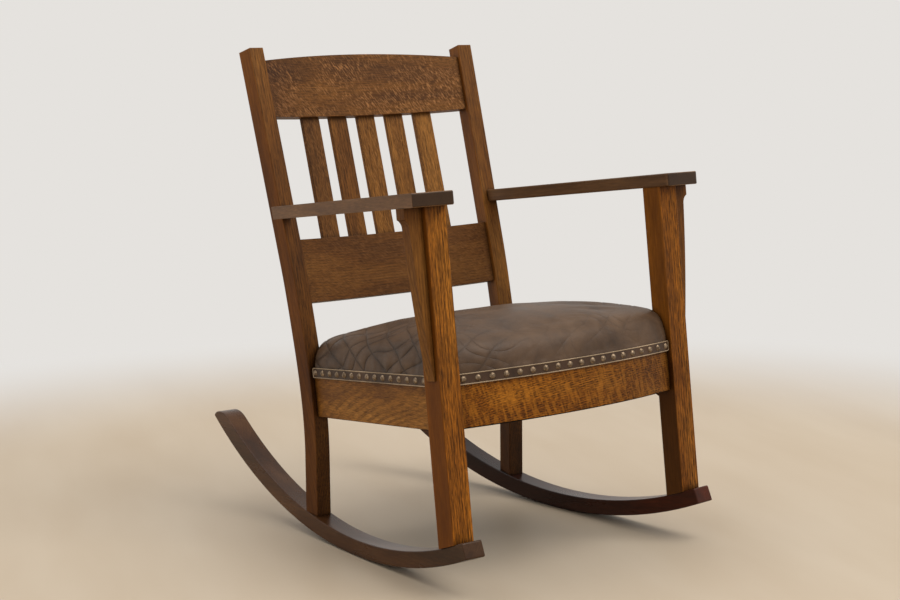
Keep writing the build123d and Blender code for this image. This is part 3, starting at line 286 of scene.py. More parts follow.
# Oak: turns that bring the grain along the third axis, sizes of its wear, and the reach of the painted
# shade in its joints
GRAIN = {
    "up": (PITCH, 0, 0),
    "rake": (PITCH + RAKE, 0, 0),
    "across": (0, pi / 2, 0),
    "back": (pi / 2 + PITCH, 0, 0),
}
SEED_STEPS = (0.37, 0.71, 0.53)
EASED_RADIUS = 0.0018
JOINT_SHADE_REACH = 0.014


class Wood(Skin):
    """Oak under a satin finish, its colour laid up in coats."""

    def __init__(self, name, grain, colours, seed, quiet):
        super().__init__(name)
        self.base, self.deep, self.pale = [linear(*colour) for colour in colours]
        self.dark = toned(self.deep, 0.3)
        self.turns = GRAIN[grain]
        self.turned = self.place(self.turns)
        self.shift = tuple(seed * step for step in SEED_STEPS)
        self.facing = self.add("ShaderNodeTexCoord").outputs["Normal"]
        aside = self.math("ABSOLUTE", self.part(self.facing, 0))
        self.sideways = self.ramp(aside, [(0.6, 0.0), (0.8, quiet)])
        self.lively = self.minus(1.0, self.sideways)

    def drawn(self, along):
        """Coordinates whose patterns are drawn out along the grain, longer as along is smaller."""
        return self.place((0, 0, 0), (1, 1, along), self.shift, self.turned)

    def slanted(self, slant, stretch):
        """Coordinates that cross the grain at a slant."""
        crossed = self.place((0, slant, 0), source=self.turned)
        return self.place((0, 0, 0), stretch, self.shift, crossed)

    def lay_tone(self):
        """Slow change of tone along the board."""
        self.tone = self.noise(self.drawn(0.16), scale=13, detail=4, rough=0.6)
        self.colour = self.ramp(self.tone, [(0.32, self.deep), (0.5, self.base), (0.68, self.pale)])

    def lay_rings(self, across, pitch, bend, figure):
        """Growth rings, nearly straight lines bent by a smooth noise drawn out along the grain."""
        sway = self.noise(self.drawn(0.09), scale=16, detail=1.5, rough=0.45)
        level = self.dot(self.turned, across)
        phase = self.scaled(level, 2 * pi / pitch, self.times(sway, bend * 4))
        wave = self.scaled(self.math("SINE", phase), 0.5, 0.5)
        lines = self.ramp(wave, [(0.0, 0.0), (0.45, 0.15), (0.85, 1.0), (1.0, 0.6)])
        soft = self.noise(self.drawn(0.2), scale=40, detail=2)
        self.rings = self.times(lines, self.ramp(soft, [(0.3, 0.2), (0.62, 1.0)]))
        share = self.times(self.rings, self.times(self.lively, figure))
        self.colour = self.mix(share, self.colour, self.deep)

    def lay_fibres(self, contrast):
        """Fine pale and dark hairs along the grain."""
        self.hair = self.noise(self.drawn(0.05), scale=620, detail=2.5, rough=0.65)
        shade = self.ramp(self.hair, [(0.34, 1.0 - contrast), (0.5, 1.0), (0.66, 1.0 + contrast)])
        share = self.scaled(self.lively, 0.75, 0.25)
        self.colour = self.mix(share, self.colour, shade, "MULTIPLY")

    def lay_pores(self, strokes, dense, length):
        """Open pores, short dark strokes that gather in the growth rings."""
        stroke = self.noise(self.drawn(length), scale=860, detail=1.4)
        stroke = self.ramp(stroke, [(dense, 0.0), (dense + 0.08, 1.0)])
        gather = self.scaled(self.rings, 0.6, 0.4)
        self.pore = self.times(self.times(stroke, gather), self.times(self.lively, strokes))
        self.colour = self.mix(self.pore, self.colour, self.dark)

    def lay_ripples(self, ripple, slant):
        """Pale wavy bands across the grain, as quarter-sawn oak shows them."""
        place = self.slanted(slant, (0.2, 1, 1))
        band = self.noise(place, scale=150, detail=1.5, bend=0.5)
        band = self.ramp(band, [(0.46, 0.0), (0.6, 1.0)])
        self.colour = self.mix(self.times(band, ripple), self.colour, toned(self.pale, 1.25))

    def lay_flecks(self, fleck, slant):
        """Ray fleck, thin pale dashes that cross the grain at a slant."""
        place = self.slanted(slant, (1.0, 0.3, 0.13))
        dash = self.noise(place, scale=700, detail=1.2, bend=0.25)
        dash = self.ramp(dash, [(0.54, 0.0), (0.63, 1.0)])
        patch = self.noise(self.drawn(0.5), scale=15, detail=2)
        patch = self.ramp(patch, [(0.36, 0.2), (0.56, 1.0)])
        share = self.times(self.times(dash, patch), fleck)
        self.colour = self.mix(share, self.colour, toned(self.pale, 1.9, 0.03))

    def lay_drift(self, axis, low, high, tint, shade_below):
        """Colour tinted from one place on the chair to another; on the rear posts and the far front post
        it is painted shade below the seat.
        """
        place = self.part(self.place(), axis)
        reach = self.math("DIVIDE", self.minus(place, low), high - low)
        wander = self.scaled(self.tone, 0.8, -0.4)
        reach = self.ramp(self.plus(reach, wander), [(0.0, 0.0), (1.0, 1.0)], True)
        self.colour = self.tinted(reach, self.colour, tint)
        # Painted shade on the faces to the sides, by shade_below
        under = self.times(reach, self.times(self.sideways, shade_below))
        self.colour = self.mix(under, self.colour, self.dark)

    def stain_ends(self, ends):
        """End grain takes the stain deeper."""
        along = self.part(self.place(self.turns, source=self.facing), 2)
        across = self.ramp(self.math("ABSOLUTE", along), [(0.7, 0.0), (0.9, 1.0)])
        self.colour = self.mix(self.times(across, ends), self.colour, self.dark)

    def wear_edges(self, edge):
        """Arrises rounded over and rubbed pale in places."""
        bevel = self.add("ShaderNodeBevel", samples=4)
        bevel.inputs["Radius"].default_value = EASED_RADIUS
        self.eased = bevel.outputs[0]
        flat = self.add("ShaderNodeNewGeometry").outputs["Normal"]
        arris = self.minus(1.0, self.dot(self.eased, flat))
        arris = self.ramp(arris, [(0.02, 0.0), (0.2, 1.0)])
        rub = self.ramp(self.noise(self.turned, scale=42), [(0.42, 0.1), (0.62, 1.0)])
        share = self.times(self.times(arris, rub), edge)
        self.colour = self.mix(share, self.colour, toned(self.pale, 1.5))

    def paint_joint_shade(self):
        """Painted shade in the corners where pieces meet, with some stain gathered there too."""
        meet = self.add("ShaderNodeAmbientOcclusion", samples=6)
        meet.inputs["Distance"].default_value = JOINT_SHADE_REACH
        shade = self.ramp(meet.outputs["AO"], [(0.35, 0.3), (0.85, 1.0)])
        self.colour = self.mix(1.0, self.colour, shade, "MULTIPLY")

    def varnish(self, gloss, shine):
        """Satin finish with a faint relief of fibres and pores."""
        smear = self.noise(self.drawn(0.3), scale=22)
        rough = self.scaled(smear, 0.16, gloss - 0.08)
        rough = self.scaled(self.pore, 0.2, rough)
        relief = self.minus(self.times(self.hair, 0.4), self.pore)
        normal = self.bump(relief, strength=0.35, depth=0.0004, normal=self.eased)
        self.surface(colour=self.colour, rough=rough, shine=shine, normal=normal)


def oak(name, grain, colours, seed, rings=(0.8, 0.6, 0.0), pitch=0.0048, bend=3.0, figure=0.5,
        contrast=0.4, strokes=0.6, dense=0.52, length=0.08, ripple=0.0, fleck=0.0, slant=0.0,
        drift=None, shade_below=0.0, quiet=0.0, calm=(0.86, 0.82, 0.8, 1.0), ends=0.5,
        edge=0.35, gloss=0.46, shine=0.12):
    """Material of one oak piece.

    rings is the way across the growth rings, which lie pitch apart, sway by bend and show by
    figure. contrast is that of the fibres. strokes, dense and length are the pores' strength,
    threshold and stretch. ripple and fleck show quarter-sawn figure at a slant. drift is an
    axis, two places on it and the tint reached at the second, where faces to the sides also
    take painted shade by shade_below. Faces to the sides are plainer by quiet and take the
    tint calm, painted shade where it is below 1 and painted light above 1.
    ends and edge are the staining of end grain and the wear of edges. gloss is the finish's
    roughness and shine its reflection.
    """
    wood = Wood(name, grain, colours, seed, quiet)
    wood.lay_tone()
    wood.lay_rings(rings, pitch, bend, figure)
    wood.lay_fibres(contrast)
    wood.lay_pores(strokes, dense, length)
    if ripple > 0:
        wood.lay_ripples(ripple, slant)
    if fleck > 0:
        wood.lay_flecks(fleck, slant)
    if drift is not None:
        wood.lay_drift(*drift, shade_below)
    # Faces to the sides tinted: painted shade where the tint is below 1, painted light where it is above
    # 1
    wood.colour = wood.tinted(wood.sideways, wood.colour, calm)
    wood.stain_ends(ends)
    wood.wear_edges(edge)
    # Painted shade where pieces meet
    wood.paint_joint_shade()
    wood.varnish(gloss, shine)
    return wood.material


def dress(material, *names):
    """Gives a material to CAD nodes."""
    for name in names:
        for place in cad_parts[name].material_slots:
            place.material = material


# Middle, deep and pale tone of each wood
GOLD = ((138, 82, 21), (102, 58, 16), (168, 108, 36))
AMBER = ((134, 78, 16), (86, 46, 12), (168, 106, 30))
HONEY = ((138, 90, 36), (96, 58, 24), (166, 114, 52))
BROWN = ((108, 66, 24), (72, 42, 16), (134, 88, 36))
CREST = ((100, 62, 24), (70, 42, 20), (126, 82, 34))
LOWER = ((98, 60, 24), (70, 41, 17), (120, 78, 34))
FIRST_SLAT = ((114, 72, 30), (88, 54, 22), (140, 94, 42))
SLAT = ((122, 78, 30), (84, 50, 20), (152, 102, 44))
UMBER = ((86, 48, 18), (56, 31, 14), (110, 68, 28))
ARM = ((116, 82, 50), (82, 56, 34), (142, 106, 70))
# Far rocker: reddish brown painted darker for the shade under the chair
SHADED_RED = ((46, 19, 9), (30, 12, 7), (70, 34, 18))
RUSSET = ((74, 44, 22), (50, 29, 14), (98, 64, 36))
HARDWOOD = ((168, 134, 92), (140, 108, 70), (186, 152, 108))

# What differs between the left and the right pieces
X, Y, Z = 0, 1, 2
SIDES = {
    "left": dict(
        seed=3,
        # Near front post: painted shade on its side faces, and lighter towards the floor
        front_post=dict(calm=(0.6, 0.54, 0.5, 1.0), drift=(Z, 0.38, 0.26, (1.18, 1.16, 1.0, 1.0))),
        foot_shade=(0.6, 0.6 * 0.94, 0.6 * 0.9, 1.0),
        rocker=RUSSET,
        rocker_tip=(0.8, 0.95, 1.2, 1.0),
    ),
    "right": dict(
        seed=11,
        # Far front post: painted shade below the seat, deepest on its side faces
        front_post=dict(calm=(0.95, 0.95, 1.0, 1.0), drift=(Z, 0.35, 0.31, (0.74, 0.7, 0.72, 1.0)),
                        shade_below=0.85),
        foot_shade=(0.36, 0.36 * 0.94, 0.36 * 0.9, 1.0),
        rocker=SHADED_RED,
        rocker_tip=(2.8, 2.1, 1.1, 1.0),
    ),
}


def dress_side(side, seed, front_post, foot_shade, rocker, rocker_tip):
    """Wood of the pieces on one side of the chair."""

    def wear(piece, kind, grain, colours, step, **traits):
        """Own oak for one piece; step sets its seed apart."""
        dress(oak("oak_%s_%s" % (kind, side), grain, colours, seed + step, **traits), piece + "_" + side)

    wear("front_post", "front_post", "up", GOLD, 0, figure=0.65, strokes=1.0, dense=0.48, contrast=0.6,
         quiet=0.85, **front_post)
    # Rear posts: side faces painted lighter, and painted shade below the seat, deepest towards the floor
    wear("rear_post", "rear_post", "rake", BROWN, 1, quiet=0.6, calm=(1.4, 1.25, 1.15, 1.0),
         drift=(Z, 0.42, 0.3, foot_shade))
    wear("corbel", "corbel", "up", BROWN, 2, strokes=0.4, contrast=0.3)
    wear("side_seat_rail", "side_rail", "back", HONEY, 3, rings=(0.1, 0.94, -0.34), pitch=0.012,
         bend=6.5, figure=0.6, strokes=0.4)
    wear("arm", "arm", "back", ARM, 4, figure=0.25, strokes=0.2, contrast=0.2, gloss=0.4, shine=0.2,
         ends=0.9)
    wear("rocker", "rocker", "back", rocker, 5, figure=0.25, strokes=0.15, contrast=0.2, gloss=0.28,
         shine=0.2, ends=0.0, drift=(Y, -0.25, -0.4, rocker_tip))
    wear("knee_block", "knee", "back", UMBER, 6)


for side, traits in SIDES.items():
    dress_side(side, **traits)

# Front rail: painted shade, darker and bluer towards its right end as the bowed rail turns away from the
# light
dress(oak("oak_front_rail", "across", AMBER, 21, rings=(0.9, 0.4, 0.1), pitch=0.0036, bend=1.2,
          figure=0.55, strokes=1.0, dense=0.46, length=0.13, contrast=0.5, ripple=0.35, slant=0.25,
          drift=(X, -0.12, 0.24, (0.66, 0.7, 1.1, 1.0))), "front_seat_rail")
dress(oak("oak_rear_rail", "across", BROWN, 22), "rear_seat_rail")
dress(oak("oak_crest", "across", CREST, 23, figure=0.3, strokes=0.5, fleck=0.7, slant=-0.96,
          drift=(X, -0.1, -0.24, (0.72, 0.72, 0.9, 1.0))), "crest_rail")
dress(oak("oak_lower_rail", "across", LOWER, 24, figure=0.4, strokes=0.45, contrast=0.3,
          fleck=0.15, slant=-0.7), "lower_back_rail")
for index, colours in enumerate((FIRST_SLAT, BROWN, SLAT, SLAT, SLAT)):
    dress(oak("oak_slat_%d" % (index + 1), "rake", colours, 30 + index, figure=0.6, strokes=0.8,
              fleck=0.2, slant=0.3), "back_slat_%d" % (index + 1))
plain = oak("plain_hardwood", "up", HARDWOOD, 41, gloss=0.6, edge=0.1, strokes=0.2)
dress(plain, "corner_block_front_left", "corner_block_front_right", "corner_block_rear_left")
dress(plain, "corner_block_rear_right", "arm_dowels", "leg_dowels")


# Seat outline, in the chair frame
RAIL_TOP = 0.326
BOW_RADIUS = 0.8594
BOW_CENTRE_V = BOW_RADIUS - 0.3356
SIDE_LENGTH = 0.3892
SIDE_FRONT_X = 0.271
SIDE_REAR_X = 0.2353
SIDE_FRONT_V = -0.2707
SIDE_TILT = asin((SIDE_FRONT_X - SIDE_REAR_X) / SIDE_LENGTH)
SIDE_SLOPE = tan(SIDE_TILT)
REAR_V = 0.14465


def front_v(x, grow):
    """Depth of the bowed front, moved out by grow."""
    return BOW_CENTRE_V - sqrt((BOW_RADIUS + grow) ** 2 - x * x)


def side_x(v, grow):
    """Half width of the seat at depth v."""
    return SIDE_FRONT_X - (v - SIDE_FRONT_V) * SIDE_SLOPE + grow


# Crossed folds in the leather, the same in the shader and in the mesh: their spacing up the
# seat and round it, the waves that bend them (round, up and phase), the lines from which the
# way inward is measured, and how they fade upward
FOLD_RISE = 0.052
FOLD_RUN = 0.07
FOLD_WAVES = ((41.0, 26.0, 0.7), (23.0, -55.0, 2.1))
FOLD_SWAY = 0.11
FRONT_SWAY = 2.2
RUN_SWAY = 1.3
FOLD_SIDE_X = 0.255
FOLD_FRONT_V = -0.336
FOLD_BOW = 0.58
CLIMB_INWARD = 0.8
FOLD_TOP = 0.2
FOLD_FADE = 0.15
FOLD_WIDTH = 0.45
SIDE_FOLD_SHARE = 0.85
FRONT_FOLD_SHARE = 0.2


def fold_shader(net, here):
    """Lines of the folds, the swell between them, and how far both show."""
    x = net.part(here, 0)
    v = net.plus(net.part(here, 1), SHIFT * cos(PITCH))
    w = net.plus(net.part(here, 2), SHIFT * sin(PITCH))
    from_side = net.minus(FOLD_SIDE_X, net.math("ABSOLUTE", x))
    from_front = net.plus(net.plus(v, -FOLD_FRONT_V), net.times(net.times(x, x), -FOLD_BOW))
    inward = net.math("MAXIMUM", net.math("MINIMUM", from_side, from_front), 0.0)
    climb = net.scaled(inward, CLIMB_INWARD, net.minus(w, RAIL_TOP))
    beside = net.math("LESS_THAN", from_side, from_front)
    run = net.plus(x, net.times(beside, net.minus(v, x)))
    waves = []
    for along, upward, phase in FOLD_WAVES:
        waves.append(net.math("SINE", net.scaled(climb, upward, net.scaled(run, along, phase))))
    stray = net.times(net.plus(waves[0], waves[1]), FOLD_SWAY)
    stray = net.times(stray, net.scaled(beside, 1.0 - FRONT_SWAY, FRONT_SWAY))
    up = net.plus(net.math("DIVIDE", climb, FOLD_RISE), stray)
    across = net.scaled(stray, RUN_SWAY, net.math("DIVIDE", run, FOLD_RUN))
    lines = []
    swells = []
    for turn in (1.0, -1.0):
        phase = net.scaled(across, turn, up)
        wave = net.math("ABSOLUTE", net.math("SINE", net.times(phase, pi)))
        lines.append(net.ramp(wave, [(0.0, 1.0), (0.2, 0.0)], True))
        swells.append(wave)
    patch = net.ramp(net.noise(here, scale=9, detail=2), [(0.48, 0.03), (0.64, 0.45)])
    low_part = net.ramp(climb, [(FOLD_TOP - FOLD_FADE, 1.0), (FOLD_TOP, 0.12)], True)
    left_part = net.ramp(net.plus(x, 0.5), [(0.3, 1.0), (0.42, 0.6)])
    share = net.times(net.times(patch, low_part), left_part)
    side_share = net.times(net.times(beside, low_part), SIDE_FOLD_SHARE)
    share = net.math("MAXIMUM", share, side_share)
    hollow = net.times(net.math("MAXIMUM", lines[0], lines[1]), share)
    return hollow, net.times(swells[0], swells[1]), share


def leather(name, colours, creases=False):
    """Leather with a fine grain, a cloudy tone and, on the seat, soft creases with painted shade in their
    lines and over their swells.
    """
    base, deep, pale = [linear(*colour) for colour in colours]
    net = Skin(name)
    here = net.place((PITCH, 0, 0))
    cloud = net.noise(here, scale=16, detail=4, rough=0.6, bend=0.4)
    colour = net.ramp(cloud, [(0.3, deep), (0.52, base), (0.72, pale)])
    pebble = net.add("ShaderNodeTexVoronoi", feature="DISTANCE_TO_EDGE")
    net.put(pebble.inputs["Vector"], here)
    pebble.inputs["Scale"].default_value = 620
    grain = net.ramp(pebble.outputs["Distance"], [(0.0, 0.0), (0.16, 1.0)])
    colour = net.mix(net.times(net.minus(1.0, grain), 0.2), colour, deep)
    wrinkle = net.noise(here, scale=190, detail=4, rough=0.6)
    normal = net.bump(grain, strength=0.2, depth=0.0003)
    normal = net.bump(wrinkle, strength=0.2, depth=0.0006, normal=normal)
    if creases:
        hollow, swell, share = fold_shader(net, here)
        # Painted shade in the fold lines, and the swells between them painted lighter in the middle and
        # darker towards the lines
        colour = net.mix(net.times(hollow, 0.75), colour, toned(deep, 0.6))
        painted_facet_shading = net.ramp(swell, [(0.0, 0.8), (0.7, 1.15)], True)
        colour = net.tinted(share, colour, painted_facet_shading)
        normal = net.bump(net.times(swell, share), strength=0.6, depth=0.0024, normal=normal)
        normal = net.bump(net.minus(1.0, hollow), strength=0.4, depth=0.0014, normal=normal)
    net.surface(colour=colour, rough=net.scaled(cloud, 0.2, 0.36), shine=0.24, normal=normal)
    return net.material


def aged_brass():
    """Antique brass, dark in the hollows and rubbed on the domes."""
    net = Skin("aged_brass")
    spots = net.noise(net.place(), scale=260, detail=4, rough=0.65)
    stops = [(0.35, linear(84, 69, 54)), (0.55, linear(132, 113, 92)), (0.7, linear(172, 152, 128))]
    net.surface(colour=net.ramp(spots, stops), metal=1.0, rough=net.scaled(spots, 0.3, 0.28),
                normal=net.bump(spots, strength=0.15, depth=0.0004))
    return net.material


def drawn_steel():
    """Plain drawn steel."""
    net = Skin("drawn_steel")
    spots = net.noise(net.place(), scale=120, detail=4, rough=0.6)
    stops = [(0.35, linear(104, 100, 94)), (0.65, linear(158, 155, 150))]
    net.surface(colour=net.ramp(spots, stops), metal=1.0, rough=net.scaled(spots, 0.3, 0.3))
    return net.material


def cloth(name, dark, pale, threads):
    """Plain woven cloth with a number of threads to the metre."""
    net = Skin(name)
    here = net.place((PITCH, 0, 0))
    warp = net.math("SINE", net.times(net.part(here, 0), threads * pi))
    weft = net.math("SINE", net.times(net.part(here, 1), threads * pi))
    weave = net.scaled(net.times(warp, weft), 0.5, 0.5)
    cloud = net.noise(here, scale=60, detail=4, rough=0.6)
    value = net.scaled(cloud, 0.6, net.times(weave, 0.4))
    colour = net.ramp(value, [(0.3, linear(*dark)), (0.7, linear(*pale))])
    net.surface(colour=colour, rough=0.9, shine=0.2, normal=net.bump(weave, strength=0.4, depth=0.0005))
    return net.material


seat_hide = leather("seat_hide", ((85, 64, 46), (64, 48, 35), (100, 77, 57)), creases=True)
band_hide = leather("band_hide", ((70, 50, 35), (46, 32, 22), (90, 66, 47)))
piping = leather("piping", ((168, 146, 118), (126, 104, 80), (196, 172, 142)))
dress(band_hide, "gimp_front", "gimp_left", "gimp_right", "gimp_rear")
dress(aged_brass(), "nails_front", "nails_left", "nails_right", "nails_rear")
dress(drawn_steel(), "block_screws", "seat_springs")
dress(cloth("jute", (120, 96, 58), (160, 134, 90), 900), "webbing_long", "webbing_cross")
dress(cloth("hessian", (134, 112, 76), (176, 152, 108), 700), "spring_cloth", "seat_stuffing")
dress(cloth("black_cambric", (18, 17, 17), (38, 36, 35), 1600), "dust_cover")


# Seat cushion: rings drawn in towards the crown, cut round the posts.
# The profile pairs the way in and the way up, as shares of DRAW and CROWN.
CROWN = 0.088
DRAW = 0.205
SKIRT = 0.015
PROFILE_SHARES = (
    (0.0, 0.0), (0.01, 0.19), (0.03, 0.34), (0.068, 0.485), (0.132, 0.62), (0.22, 0.715), (0.39, 0.83),
    (0.585, 0.915), (0.805, 0.975), (1.0, 1.0),
)
BULGE_SHARE = 0.008
COVER_OUT = 0.0015
CORNER_ROUND = 0.026
NEAR_CORNER_V = -0.29
RING_POINTS = 180
SIDE_STEPS = 120
FINE_POINTS = 720

# Front corners fuller by a share of the draw, over a depth that ends at FULL_BACK_V
FULL_SHARE = 0.42
FULL_BACK_V = 0.05
FULL_DEPTH = 0.26
FULL_MIDDLE = 0.05

# Crown worn lower, most at the back, and pushed forward
SAG_SLOPE = 0.014
SAG_FROM_V = -0.09
CROWN_WORN = 0.006
CROWN_FORWARD = 0.003
MIDDLE_SHARES = (0.75, 0.5, 0.25)
MIDDLE_RISE = 0.0012
TIP_RISE = 0.0014

# Cover clear of the posts, as x and v of each notch's corner
FRONT_CLEAR = (0.2387, -0.2704)
REAR_CLEAR = (0.2155, 0.1155)
NOTCH_OUT_X = 0.36
NOTCH_FRONT_V = -0.40
NOTCH_BACK_V = 0.2
NOTCH_LOW_W = 0.28
NOTCH_HIGH_W = 0.45

# Cloth simulation: how far the crown starts below its full height and the sides within their
# full width, how far a point may move, and how firmly the edges hold
SLACK = 0.007
GIVE_SHARE = 0.2
GIVE_RISE = 4
MOST_MOVE = 0.007
VOXEL = 0.006
LAST_FRAME = 20
EDGE_HOLD = 0.007
POST_HOLD = 0.008


def between(a, b, share):
    """Point at a share of the way from a to b."""
    return a[0] + (b[0] - a[0]) * share, a[1] + (b[1] - a[1]) * share


def gap(a, b):
    """Distance of two plan points."""
    return sqrt((a[0] - b[0]) ** 2 + (a[1] - b[1]) ** 2)


def outline(grow):
    """Closed ring of plan points round the seat, with rounded corners."""
    near_v = front_v(side_x(NEAR_CORNER_V, grow), grow)
    near_x = side_x(near_v, grow)
    far_v = REAR_V + grow
    far_x = side_x(far_v, grow)
    dense = []
    for k in range(SIDE_STEPS):
        x = -near_x + 2 * near_x * k / SIDE_STEPS
        dense.append((x, front_v(x, grow)))
    corners = [(near_x, near_v), (far_x, far_v), (-far_x, far_v), (-near_x, near_v)]
    for first, last in zip(corners, corners[1:]):
        for k in range(SIDE_STEPS):
            dense.append(between(first, last, k / SIDE_STEPS))
    # Even spacing along the ring, then a running mean that rounds the corners
    total = [0.0]
    for a, b in zip(dense, dense[1:] + dense[:1]):
        total.append(total[-1] + gap(a, b))
    even = []
    spot = 0
    for k in range(FINE_POINTS):
        want = total[-1] * k / FINE_POINTS
        while total[spot + 1] < want:
            spot += 1
        share = (want - total[spot]) / (total[spot + 1] - total[spot])
        even.append(between(dense[spot], dense[(spot + 1) % len(dense)], share))
    reach = int(CORNER_ROUND / total[-1] * FINE_POINTS)
    ring = []
    for k in range(0, FINE_POINTS, FINE_POINTS // RING_POINTS):
        window = [even[(k + j) % FINE_POINTS] for j in range(-reach, reach + 1)]
        ring.append((sum(p[0] for p in window) / len(window), sum(p[1] for p in window) / len(window)))
    return ring


def cover_point(x, v, inset, rise, slack):
    """Point of the cover from its plan point, its share of the way in and its share of the way up."""
    above = max(0.0, rise)
    front = held_between(0.0, (FULL_BACK_V - v) / FULL_DEPTH, 1.0)
    wide = FULL_SHARE * DRAW * inset * front * front * (3 - 2 * front)
    wide *= min(1.0, abs(x) / FULL_MIDDLE) * (1 if x > 0 else -1)
    sag = SAG_SLOPE * (v - SAG_FROM_V) * above
    top = (CROWN - (CROWN_WORN + slack) * above * above) * rise
    return Vector((x + wide, v - CROWN_FORWARD * above, RAIL_TOP + top - sag))


def cushion(slack):
    """Domed leather seat as one closed mesh, its crown let down by slack."""
    levels = [(0.0, -SKIRT / CROWN), (0.0, -SKIRT / 2 / CROWN)]
    for (a_in, a_up), (b_in, b_up) in zip(PROFILE_SHARES, PROFILE_SHARES[1:]):
        levels.append((a_in, a_up))
        levels.append(((a_in + b_in) / 2, (a_up + b_up) / 2 + BULGE_SHARE))
    levels.append(PROFILE_SHARES[-1])
    mesh = bmesh.new()
    rings = []
    for inset, rise in levels:
        give = GIVE_SHARE * slack * held_between(0.0, rise * GIVE_RISE, 1.0)
        plan = outline(COVER_OUT - give - DRAW * inset)
        rings.append([mesh.verts.new(cover_point(x, v, inset, rise, slack)) for x, v in plan])
    # Crown closed by smaller rings down to the middle
    last = rings[-1]
    middle = sum((p.co for p in last), Vector()) / RING_POINTS
    for share in MIDDLE_SHARES:
        ring = []
        for p in last:
            place = middle + (p.co - middle) * share
            place.z += MIDDLE_RISE * (1 - share)
            ring.append(mesh.verts.new(place))
        rings.append(ring)
    for low, high in zip(rings, rings[1:]):
        for k in range(RING_POINTS):
            j = (k + 1) % RING_POINTS
            mesh.faces.new((low[k], low[j], high[j], high[k]))
    tip = mesh.verts.new(middle + Vector((0, 0, TIP_RISE)))
    for k in range(RING_POINTS):
        mesh.faces.new((rings[-1][k], rings[-1][(k + 1) % RING_POINTS], tip))
    mesh.faces.new(list(reversed(rings[0])))
    bmesh.ops.recalc_face_normals(mesh, faces=mesh.faces)
    for p in mesh.verts:
        p.co = at(p.co.x, p.co.y, p.co.z)
    return mesh_piece("seat_cushion", mesh)


def block(low, high):
    """Box in the chair frame, used as a cutter."""
    mesh = bmesh.new()
    spots = []
    for x in (low[0], high[0]):
        for v in (low[1], high[1]):
            for w in (low[2], high[2]):
                spots.append(mesh.verts.new(at(x, v, w)))
    for face in ((0, 1, 3, 2), (4, 6, 7, 5), (0, 4, 5, 1), (2, 3, 7, 6), (0, 2, 6, 4), (1, 5, 7, 3)):
        mesh.faces.new([spots[k] for k in face])
    bmesh.ops.recalc_face_normals(mesh, faces=mesh.faces)
    return mesh_piece("notch", mesh)


def apply(piece, change):
    """Makes a modifier part of the mesh."""
    bpy.context.view_layer.objects.active = piece
    bpy.ops.object.modifier_apply(modifier=change.name)


def notch(piece, side, corner_x, low_v, high_v):
    """Takes the space of a post out of a piece."""
    low_x, high_x = sorted((side * corner_x, side * NOTCH_OUT_X))
    cutter = block((low_x, low_v, NOTCH_LOW_W), (high_x, high_v, NOTCH_HIGH_W))
    change = piece.modifiers.new("cut", "BOOLEAN")
    change.operation = "DIFFERENCE"
    change.object = cutter
    change.solver = "EXACT"
    apply(piece, change)
    bpy.data.objects.remove(cutter)


def held_share(place):
    """How firmly a point of the cover is held, 1 at the tacked edge and at the posts."""
    x, v, w = frame_spot(place)
    low = 1.0 - (w - RAIL_TOP) / EDGE_HOLD
    front = 1.0 - max(FRONT_CLEAR[0] - abs(x), v - FRONT_CLEAR[1]) / POST_HOLD
    rear = 1.0 - max(REAR_CLEAR[0] - abs(x), REAR_CLEAR[1] - v) / POST_HOLD
    return held_between(0.0, max(low, front, rear), 1.0)


def puff(piece):
    """Blows the cover up by cloth simulation, no point moving further than MOST_MOVE."""
    bpy.context.view_layer.objects.active = piece
    piece.data.remesh_voxel_size = VOXEL
    piece.data.remesh_voxel_adaptivity = 0
    bpy.ops.object.voxel_remesh()
    start = [p.co.copy() for p in piece.data.vertices]
    outward = [p.normal.copy() for p in piece.data.vertices]
    group = piece.vertex_groups.new(name="held")
    for p in piece.data.vertices:
        share = held_share(p.co)
        if share > 0:
            group.add([p.index], share, "REPLACE")
    change = piece.modifiers.new("cloth", "CLOTH")
    hide = change.settings
    hide.quality = 5
    hide.mass = 0.35
    hide.tension_stiffness = 18
    hide.compression_stiffness = 12
    hide.shear_stiffness = 6
    hide.bending_stiffness = 4
    hide.use_pressure = True
    hide.uniform_pressure_force = 4
    hide.vertex_group_mass = group.name
    hide.effector_weights.gravity = 0
    change.point_cache.frame_start = 1
    change.point_cache.frame_end = LAST_FRAME
    scene = bpy.context.scene
    for step in range(1, LAST_FRAME + 1):
        scene.frame_set(step)
        bpy.context.view_layer.update()
    shown = piece.evaluated_get(bpy.context.evaluated_depsgraph_get()).data
    moved = [p.co.copy() for p in shown.vertices]
    piece.modifiers.remove(change)
    scene.frame_set(1)
    # Outward movement only, so that the corners keep their fullness
    for p, a, b, normal in zip(piece.data.vertices, start, moved, outward):
        move = b - a
        move -= normal * min(0.0, move.dot(normal))
        if move.length > MOST_MOVE:
            move = move * (MOST_MOVE / move.length)
        p.co = a + move
    piece.vertex_groups.clear()


def fold_depth(x, v, w):
    """Depth of the crossed folds at a point of the cover, 0 to 1, as the leather shows them."""
    from_side = FOLD_SIDE_X - abs(x)
    from_front = v - FOLD_FRONT_V - FOLD_BOW * x * x
    climb = w - RAIL_TOP + CLIMB_INWARD * max(0.0, min(from_side, from_front))
    beside = from_side < from_front
    run = v if beside else x
    stray = FOLD_SWAY * sum(sin(a * run + b * climb + c) for a, b, c in FOLD_WAVES)
    if not beside:
        stray *= FRONT_SWAY
    across = stray * RUN_SWAY + run / FOLD_RUN
    depth = 0.0
    for turn in (1.0, -1.0):
        wave = abs(sin(pi * (across * turn + climb / FOLD_RISE + stray)))
        depth = max(depth, 1.0 - wave / FOLD_WIDTH)
    low = held_between(0.0, (FOLD_TOP - climb) / FOLD_FADE, 1.0)
    return depth * depth * low * (SIDE_FOLD_SHARE if beside else FRONT_FOLD_SHARE)


